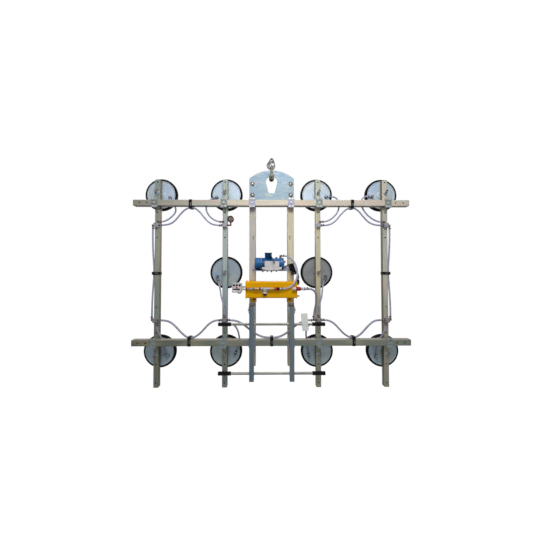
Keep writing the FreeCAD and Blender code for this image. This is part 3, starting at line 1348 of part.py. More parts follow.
def make_valve():
    stub = s.valve_stub_length
    neck = stub + s.valve_body_length
    body = turned("valve_barrel", [
        (0, 0), (0, s.valve_stub_radius), (stub, s.valve_stub_radius), (stub, s.valve_body_radius),
        (neck, s.valve_body_radius), (neck, s.valve_tail_radius), (neck + s.valve_tail_length, s.valve_tail_radius),
        (neck + s.valve_tail_length, 0),
    ], "X")
    place(body, s.valve_start, line_y, line_z)
    stay = rod("valve_stay", "Y", s.valve_start + s.valve_stay_inset, line_y, line_z, s.joint_radius, s.line_reach)
    node("valve_body", fuse("valve_on_stay", body, stay))
    bore = s.valve_body_radius + s.sleeve_clearance
    rim = s.sleeve_radius
    length = s.sleeve_length
    sleeve = turned("sleeve", [
        (0, bore), (0, rim - s.sleeve_start / 2), (s.sleeve_start / 2, rim), (length - s.sleeve_start / 2, rim),
        (length, rim - s.sleeve_start / 2), (length, bore),
    ], "X")
    place(sleeve, s.valve_start + stub + s.sleeve_start, line_y, line_z)
    node("valve_sleeve", sleeve)


# Vacuum monitor

def make_monitor():
    width = s.monitor_width
    body = new_body("monitor_case")
    face = sketch(body, "face", "XZ_Plane")
    rounded_rectangle(face, 0, -s.monitor_height, width, s.monitor_height, s.monitor_corner)
    pad(body, face, s.monitor_depth)
    holes = sketch(body, "key_holes", "XZ_Plane", s.monitor_depth + s.overrun)
    hole = s.key_side / 2 + s.key_gap
    middles = [width / 2 + (index - (KEY_COUNT - 1) / 2) * s.key_pitch for index in range(KEY_COUNT)]
    for middle in middles:
        outline(holes, [
            (middle - hole, -s.key_drop - hole), (middle + hole, -s.key_drop - hole),
            (middle + hole, -s.key_drop + hole), (middle - hole, -s.key_drop + hole),
        ])
    pocket(body, holes, s.overrun + s.key_depth - s.key_proud + s.key_travel + s.key_gap)
    back = front - s.monitor_reach + s.monitor_depth
    face_y = front - s.monitor_reach
    place(body, s.monitor_start, back, -monitor_drop)
    sounder = rod("sounder", "Y", s.monitor_start + s.sounder_shift, back - s.sounder_depth - s.sounder_lap,
                  -monitor_drop - s.sounder_drop, s.sounder_radius, s.sounder_depth)
    node("monitor_housing", fuse("monitor", body, sounder))
    for middle, word in zip(middles, ("left", "middle", "right")):
        x = s.monitor_start + middle - s.key_side / 2
        key = block(f"key_{word}", x, face_y - s.key_proud, -monitor_drop - s.key_drop - s.key_side / 2,
                    s.key_side, s.key_depth, s.key_side)
        node(f"monitor_key_{word}", key)


# Handle frame

leg_middle = front - s.leg_reach + s.leg_side / 2
bar_middle = leg_middle + s.leg_side / 2 + s.bar_radius - s.bar_bite


def make_handle():
    pieces = []
    for side in SIDES:
        body = new_body("handle_leg")
        section = sketch(body, "section", "XY_Plane")
        centred_square(section, s.leg_side, s.leg_corner)
        centred_square(section, s.leg_side - 2 * s.leg_wall, s.leg_inner_corner)
        pad(body, section, s.leg_length)
        pieces.append(place(body, side * s.post_spacing / 2, leg_middle, -leg_drop - s.leg_length))
    for drop in (upper_bar_drop, lower_bar_drop):
        pieces.append(rod("handle_bar", "X", -s.bar_length / 2, bar_middle, -drop, s.bar_radius, s.bar_length))
    bores = [
        rod("pivot_bore", "X", side * s.post_spacing / 2 - s.leg_side, leg_middle, -pivot_drop,
            s.pivot_radius + s.pivot_clearance, 2 * s.leg_side)
        for side in SIDES
    ]
    node("handle_frame", cut("handle_bored", fuse("handle_welded", *pieces), fuse("pivot_bores", *bores)))


def make_grips():
    grips = []
    bore = s.bar_radius + s.grip_gap
    radius = s.grip_radius
    length = s.grip_length
    pitch = length / (GRIP_RIB_COUNT + 1)
    profile = [(0, bore), (0, radius)]
    for rib in range(1, GRIP_RIB_COUNT + 1):
        start = rib * pitch - s.grip_rib_width / 2
        profile += [(start, radius), (start, s.grip_rib_radius), (start + s.grip_rib_width, s.grip_rib_radius),
                    (start + s.grip_rib_width, radius)]
    profile += [(length, radius), (length, 0), (length - s.grip_end, 0), (length - s.grip_end, bore)]
    for side, rotation in ((-1, Rotation(Vector(0, 0, 1), 180)), (1, Rotation())):
        for drop in (upper_bar_drop, lower_bar_drop):
            body = turned("grip", profile, "X")
            end = s.bar_length / 2 + s.grip_end + s.grip_gap - length
            grips.append(place(body, side * end, bar_middle, -drop, rotation))
    node("handle_grips", *grips)


def make_hinges():
    """A bracket on each post: a base with two bolts, two cheeks, and the pin that the leg hangs on."""
    brackets = []
    for side in SIDES:
        x = side * s.post_spacing / 2
        low = -hinge_drop - s.hinge_height
        thick = s.hinge_thickness
        base = block("hinge_base", x - s.hinge_width / 2, front - thick, low, s.hinge_width, thick, s.hinge_height)
        holes = fuse("hinge_holes", *[
            rod("hinge_hole", "Y", x, front - thick - s.overrun, level, s.bolt_radius + s.bolt_clearance,
                thick + 2 * s.overrun)
            for level in (low + s.hinge_bolt_inset, -hinge_drop - s.hinge_bolt_inset)
        ])
        reach = s.leg_side / 2 + s.hinge_side_gap
        nose = leg_middle - s.hinge_nose
        pieces = [cut("hinge_plate", base, holes)]
        for edge in (x - reach - thick, x + reach):
            pieces.append(block("hinge_cheek", edge, nose, -pivot_drop - s.hinge_cheek_height / 2, thick,
                                front - thick - nose, s.hinge_cheek_height))
        span = reach + thick
        pieces.append(rod("hinge_pin", "X", x - span, leg_middle, -pivot_drop, s.pivot_radius, 2 * span))
        for end in (x - span - s.pivot_head_length, x + span):
            pieces.append(rod("hinge_pin_head", "X", end, leg_middle, -pivot_drop, s.pivot_head_radius,
                              s.pivot_head_length))
        brackets.append(fuse("hinge", *pieces))
    node("handle_brackets", *brackets)


# Hoses and power cable

def tube_between(name, start, middle, finish, radius):
    """A hose that leaves one port and enters another squarely."""
    lead = s.hose_lead.value
    points = [start[0], start[0] + start[1] * lead]
    points += [Vector(*point) for point in middle]
    points += [finish[0] + finish[1] * lead, finish[0]]
    return soft_tube(name, points, radius)


def make_hoses(ports):
    slim = s.slim_hose_radius.value
    main = s.main_hose_radius.value
    ends = {
        "top_left": ("top_outer_left", "top_inner_left", slim),
        "top_right": ("top_inner_right", "top_outer_right", slim),
        "low_left": ("low_outer_left", "low_inner_left", main),
        "low_middle": ("middle_left", "middle_right", main),
        "low_right": ("low_inner_right", "low_outer_right", main),
        "drop_left": ("drop_top_left", "drop_low_left", slim),
        "drop_right": ("drop_top_right", "drop_low_right", slim),
        "valve": ("valve_start", "valve_end", main),
        "pump": ("pump_start", "pump_end", slim),
    }
    links = [
        tube_between(name, ports[begin], LINK_ROUTES[name], ports[finish], radius)
        for name, (begin, finish, radius) in ends.items()
    ]
    shaped("link_hoses", Part.makeCompound(links))
    branches = [
        tube_between(name, pad_ports[name], route, ports[name], slim) for name, route in PAD_ROUTES.items()
    ]
    shaped("pad_hoses", Part.makeCompound(branches))


def make_cable():
    """A curly power cable from the terminal box to its plug, and the short lead to the filter box."""
    radius = s.cable_radius.value
    low = (pump_y - s.terminal_width / 2 - s.gland_length).value
    high = (pump_y + s.terminal_width / 2 + s.gland_length).value
    level = (pump_z + s.gland_rise).value
    offset = s.gland_offset.value
    begin, finish = [Vector(*point) for point in CURL_AXIS]
    along = (finish - begin).normalize()
    back = Vector(0, 1, 0)
    points, tangents = winding(s.curl_radius.value, s.curl_pitch.value, CURL_QUARTERS)
    turn = Rotation(back, along.cross(back), along, "ZXY")
    points = [begin + turn.multVec(point) for point in points]
    tangents = [turn.multVec(tangent) for tangent in tangents]
    lead = [Vector(offset, high, level)] + [Vector(*point) for point in CABLE_ROUTE]
    lead += [points[0] - tangents[0] * s.curl_lead.value, points[0]]
    lead_edges, lead_radii = run_edges(lead)
    tail = [points[-1], points[-1] + tangents[-1] * s.curl_lead.value]
    for step in CABLE_TAIL:
        tail.append(tail[-1] + Vector(*step))
    tail_edges, tail_radii = run_edges(tail)
    curls = helix_edges(points, tangents)
    solid, length = swept(lead_edges + curls + tail_edges, radius, lead[1] - lead[0])
    share = solid.Volume / (math.pi * radius ** 2 * length)
    print(f"cable: length {length:.0f}, least radius {min(lead_radii + tail_radii):.0f}, volume share {share:.4f}, "
          f"curl gap {self_gap(Part.Wire(curls), radius):.2f}")
    jumper = [Vector(offset, low, level)] + [Vector(*point) for point in JUMPER_ROUTE] + [Vector(*JUMPER_END)]
    short = soft_tube("jumper", jumper, radius)
    shaped("power_cable", Part.makeCompound([solid, short]))
    end = tail[-1]
    down = Vector(0, 0, -1)
    neck = Part.makeCylinder(s.plug_neck_radius.value, s.plug_neck_length.value, end, down)
    shoulder = end + down * s.plug_neck_length.value
    body = Part.makeCylinder(s.plug_radius.value, s.plug_length.value, shoulder, down)
    foot = shoulder + down * s.plug_length.value
    pins = []
    for index in range(PLUG_PIN_COUNT):
        angle = 2 * math.pi * index / PLUG_PIN_COUNT
        spread = Vector(math.cos(angle), math.sin(angle), 0) * s.plug_pin_circle.value
        pins.append(Part.makeCylinder(s.plug_pin_radius.value, s.plug_pin_length.value, foot + spread, down))
    shaped("cable_plug", neck.fuse([body] + pins))


make_beams()
make_posts()
make_carriers()
make_clamps()
make_bolts()
make_lifting_plate()
make_shackle()
make_hook()
make_latch()
pad_ports = make_pads()
make_springs()
make_tank()
make_brackets()
make_motor()
make_cowl()
make_fan()
make_pump_housing()
make_terminal_box()
make_filter_box()
make_blocks()
make_straps()
make_vacuum_line()
make_valve()
make_monitor()
make_handle()
make_grips()
make_hinges()
hose_ports = make_fittings()
make_hoses(hose_ports)
make_cable()
doc.recompute()


def check_and_write():
    for piece in doc.Objects:
        if "Invalid" in piece.State or "Error" in piece.State:
            raise RuntimeError(f"{piece.Name} did not build: {piece.State}")
    for piece in nodes:
        if piece.Shape.isNull() or not piece.Shape.isValid():
            raise RuntimeError(f"{piece.Label} has no valid shape")
    os.makedirs("parts", exist_ok=True)
    for piece in nodes:
        piece.Shape.exportStep(f"parts/{piece.Label}.step")


check_and_write()
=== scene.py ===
import math

import bmesh
import bpy
from mathutils import Matrix, Vector


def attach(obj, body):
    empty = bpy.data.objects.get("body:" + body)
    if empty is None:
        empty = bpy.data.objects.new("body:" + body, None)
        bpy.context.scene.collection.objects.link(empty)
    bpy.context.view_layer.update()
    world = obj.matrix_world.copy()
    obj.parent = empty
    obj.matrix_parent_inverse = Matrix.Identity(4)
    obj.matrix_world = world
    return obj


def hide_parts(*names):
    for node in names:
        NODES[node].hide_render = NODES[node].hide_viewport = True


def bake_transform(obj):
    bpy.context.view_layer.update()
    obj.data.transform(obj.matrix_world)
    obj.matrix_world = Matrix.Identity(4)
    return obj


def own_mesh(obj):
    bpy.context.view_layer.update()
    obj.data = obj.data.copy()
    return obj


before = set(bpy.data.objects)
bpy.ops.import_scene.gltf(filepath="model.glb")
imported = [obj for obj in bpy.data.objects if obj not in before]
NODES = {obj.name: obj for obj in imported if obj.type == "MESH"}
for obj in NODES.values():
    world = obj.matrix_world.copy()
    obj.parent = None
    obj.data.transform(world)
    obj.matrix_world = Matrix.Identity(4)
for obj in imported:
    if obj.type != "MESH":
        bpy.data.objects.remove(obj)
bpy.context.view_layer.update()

# The glass panel lifter, dressed. +X to the right, +Y towards the panel, +Z up, with the origin at the
# centre of the hook's eye. Pieces and routes are written in millimetres, and MM scales them to metres.
MM = 0.001
scene = bpy.context.scene

# Main measures, in millimetres; an upright tube has its middle in depth, half width, top and foot
OUTER, INNER, POST = 1035, 422.5, 173
BEAM_LEVELS = {"top_beam": -400, "bottom_beam": -1635}
BEAM_Y, BEAM_HALF, BEAM_END = -21, 27, 1222
CARRIER_TUBE = 28.5, 22.5, -176, -2043
POST_TUBE = 35, 29, -174, -1854
BLOCK_LEVELS = -594, -1444
COLUMNS = {"outer_left": -OUTER, "inner_left": -INNER, "inner_right": INNER, "outer_right": OUTER}
PAD_LEVELS = {"top": -292, "mid": -1020.5, "low": -1749}
PADS = {f"{column}_{row}": (x, z) for row, z in PAD_LEVELS.items() for column, x in COLUMNS.items()
        if row != "mid" or column.startswith("inner")}
UP, DOWN, LEFT, RIGHT, BACK, FRONT = (0, 0, 1), (0, 0, -1), (-1, 0, 0), (1, 0, 0), (0, 1, 0), (0, -1, 0)


def mm(*values):
    return Vector(values) * MM


# Camera, at the photograph's viewpoint

LENS_MM = 14.812
camera_data = bpy.data.cameras.new("camera")
camera_data.sensor_width = 36
camera_data.lens = LENS_MM
camera_data.shift_x = 0.0081
camera_data.shift_y = -0.0227
camera_data.clip_end = 60
camera = bpy.data.objects.new("camera", camera_data)
camera.location = mm(-24.9, -2041.9, -974.2)
camera.rotation_euler = (math.pi / 2 + 0.0221, 0.0002, -0.0074)
scene.collection.objects.link(camera)
scene.camera = camera
scene.view_settings.view_transform = "Standard"


# Materials

RAMP_LOW, RAMP_HIGH = 0.3, 0.7
EDGE_LOW, EDGE_HIGH = 0.80, 0.985
EDGE_PATCH_SCALE, EDGE_PATCH_LOW, EDGE_PATCH_HIGH = 60, 0.42, 0.66
BEVEL_SAMPLES = 4


class Graph:
    """The nodes of one procedural material."""

    def __init__(self, name):
        self.material = bpy.data.materials.new(name)
        self.material.use_nodes = True
        self.tree = self.material.node_tree
        self.tree.nodes.clear()
        self.shader = self.node("ShaderNodeBsdfPrincipled")
        self.link(self.shader, "BSDF", self.node("ShaderNodeOutputMaterial"), "Surface")
        self.coords = self.node("ShaderNodeTexCoord")

    def node(self, kind, **sockets):
        made = self.tree.nodes.new(kind)
        for key, value in sockets.items():
            made.inputs[key.replace("_", " ")].default_value = value
        return made

    def link(self, source, out, target, into):
        self.tree.links.new(source.outputs[out], target.inputs[into])

    def noise(self, scale, stretch=(1, 1, 1), detail=3.0, distortion=0.0):
        """Noise in the object's own metres; scale is in waves per metre."""
        mapping = self.node("ShaderNodeMapping", Scale=stretch)
        self.link(self.coords, "Object", mapping, "Vector")
        made = self.node("ShaderNodeTexNoise", Scale=scale, Detail=detail, Distortion=distortion)
        self.link(mapping, "Vector", made, "Vector")
        return made

    def ramp(self, source, out, stops):
        made = self.node("ShaderNodeValToRGB")
        elements = made.color_ramp.elements
        while len(elements) < len(stops):
            elements.new(0.5)
        for element, (place, colour) in zip(elements, stops):
            element.position = place
            element.color = colour if len(colour) == 4 else (*colour, 1)
        self.link(source, out, made, "Fac")
        return made

    def spread(self, source, out, low, high, start=RAMP_LOW, end=RAMP_HIGH):
        made = self.node("ShaderNodeMapRange", From_Min=start, From_Max=end, To_Min=low, To_Max=high)
        self.link(source, out, made, "Value")
        return made

    def mixed(self, blend, factor, first, second):
        """Two colours mixed; factor is a number or (node, output), and so is each colour."""
        made = self.node("ShaderNodeMix")
        made.data_type = "RGBA"
        made.blend_type = blend
        for key, value in ((0, factor), (6, first), (7, second)):
            if isinstance(value, tuple) and isinstance(value[0], bpy.types.Node):
                self.tree.links.new(value[0].outputs[value[1]], made.inputs[key])
            else:
                made.inputs[key].default_value = value
        return made

    def combined(self, operation, first, second):
        made = self.node("ShaderNodeMath")
        made.operation = operation
        self.link(*first, made, 0)
        self.link(*second, made, 1)
        return made, "Value"


def grey(level):
    return (level, level, level, 1)


def srgb(red, green, blue):
    """A colour as it looks on screen, from 0 to 255, as linear light."""
    def linear(value):
        value /= 255
        return value / 12.92 if value <= 0.04045 else ((value + 0.055) / 1.055) ** 2.4
    return linear(red), linear(green), linear(blue)


def finish(name, tones, size, rough, metallic=0.0, stretch=(1, 1, 1), grain=0.08, bump=(500, 0.04),
           edge=0.8, edge_wear_and_shade=None, marks=(), fades=(), specular=0.2, sockets=None):
    """A worn surface: tones that drift over size metres, grain, uneven gloss, soft edges, patchy corners.

    Tones, the corners' colour and a mark's tint are screen colours from 0 to 255. The corners' colour marks
    rubbed corners, but on the upright tubes it is painted shade. A fade (axis, begin, end, factors) scales
    the tones along one of the object's axes; most fades below are painted light and shade. A mark (tint,
    share, scale, stretch, from, to) lays a film over part of the surface."""
    graph = Graph(name)
    shader = graph.shader
    wide = graph.noise(1 / size, stretch, detail=4.0, distortion=0.6)
    gap = (RAMP_HIGH - RAMP_LOW) / (len(tones) - 1)
    stops = [(RAMP_LOW + gap * i, srgb(*tone)) for i, tone in enumerate(tones)]
    colour = (graph.ramp(wide, "Fac", stops), "Color")
    fine = graph.noise(9 / size, stretch, detail=5.0)
    shade = graph.ramp(fine, "Fac", [(RAMP_LOW, grey(1 - grain)), (RAMP_HIGH, grey(1 + grain / 2))])
    colour = (graph.mixed("MULTIPLY", 1.0, colour, (shade, "Color")), 2)
    split = graph.node("ShaderNodeSeparateXYZ")
    graph.link(graph.coords, "Object", split, "Vector")
    for axis, begin, end, factors in fades:
        level = graph.spread(split, axis, 0.0, 1.0, begin, end)
        shade = graph.mixed("MIX", (level, "Result"), grey(1), (*factors, 1))
        colour = (graph.mixed("MULTIPLY", 1.0, colour, (shade, 2)), 2)
    soft = graph.node("ShaderNodeBevel", Radius=edge * MM)
    soft.samples = BEVEL_SAMPLES
    # The corners' colour in patches: rubbed corners, and painted shade on the upright tubes.
    if edge_wear_and_shade:
        plain = graph.node("ShaderNodeNewGeometry")
        turn = graph.node("ShaderNodeVectorMath")
        turn.operation = "DOT_PRODUCT"
        graph.link(soft, "Normal", turn, 0)
        graph.link(plain, "Normal", turn, 1)
        edge_patches = graph.noise(EDGE_PATCH_SCALE, detail=4.0)
        edge_mask = graph.spread(turn, "Value", 1.0, 0.0, EDGE_LOW, EDGE_HIGH)
        patch = graph.spread(edge_patches, "Fac", 0.0, 1.0, EDGE_PATCH_LOW, EDGE_PATCH_HIGH)
        rubbed_and_shaded = graph.combined("MULTIPLY", (edge_mask, "Result"), (patch, "Result"))
        colour = (graph.mixed("MIX", rubbed_and_shaded, colour, (*srgb(*edge_wear_and_shade), 1)), 2)
    for tint, share, scale, drawn, begin, end in marks:
        film = graph.spread(graph.noise(scale, drawn, detail=5.0), "Fac", 0.0, share, begin, end)
        colour = (graph.mixed("MIX", (film, "Result"), colour, (*srgb(*tint), 1)), 2)
    graph.tree.links.new(colour[0].outputs[colour[1]], shader.inputs["Base Color"])
    gloss = graph.noise(3.3 / size, stretch, detail=4.0)
    graph.link(graph.spread(gloss, "Fac", *rough), "Result", shader, "Roughness")
    relief = graph.node("ShaderNodeBump", Strength=bump[1], Distance=1.0 * MM)
    graph.link(graph.noise(bump[0], detail=2.0), "Fac", relief, "Height")
    graph.link(soft, "Normal", relief, "Normal")
    graph.link(relief, "Normal", shader, "Normal")
    shader.inputs["Metallic"].default_value = metallic
    shader.inputs["Specular IOR Level"].default_value = specular
    for key, value in (sockets or {}).items():
        shader.inputs[key].default_value = value
    return graph.material


ALONG_X, ALONG_Z, EVEN = (0.25, 3, 3), (3, 3, 0.25), (1, 1, 1)
# Painted shade: these fades darken the tones towards the bottom of the frame, strongly for tubes, less for
# clamps.
LOW_PAINTED_SHADE = ("Z", -0.95, -1.75, (0.53, 0.56, 0.54))
CLAMP_PAINTED_SHADE = ("Z", -0.95, -1.75, (0.8, 0.85, 0.88))
BRIGHT = (206, 205, 197)
# Painted shade: dark brown in patches on the upright tubes' round corners.
PAINTED_EDGE_SHADE = (72, 62, 46)
RAW_YELLOW = ((206, 194, 150), 0.3, 16, (0.2, 1, 1), 0.52, 0.66)
RAW_GREEN = ((150, 170, 160), 0.45, 12, (1, 1, 0.15), 0.52, 0.66)
LEVEL_TUBE = {"rough": (0.36, 0.52), "metallic": 0.05, "stretch": ALONG_X}
UPRIGHT_TUBE = {"rough": (0.36, 0.52), "metallic": 0.05, "stretch": ALONG_Z, "edge": 2.2, "edge_wear_and_shade": PAINTED_EDGE_SHADE}


def dust(tint, share):
    """A mark of settled dust."""
    return tint, share, 14, EVEN, 0.45, 0.8


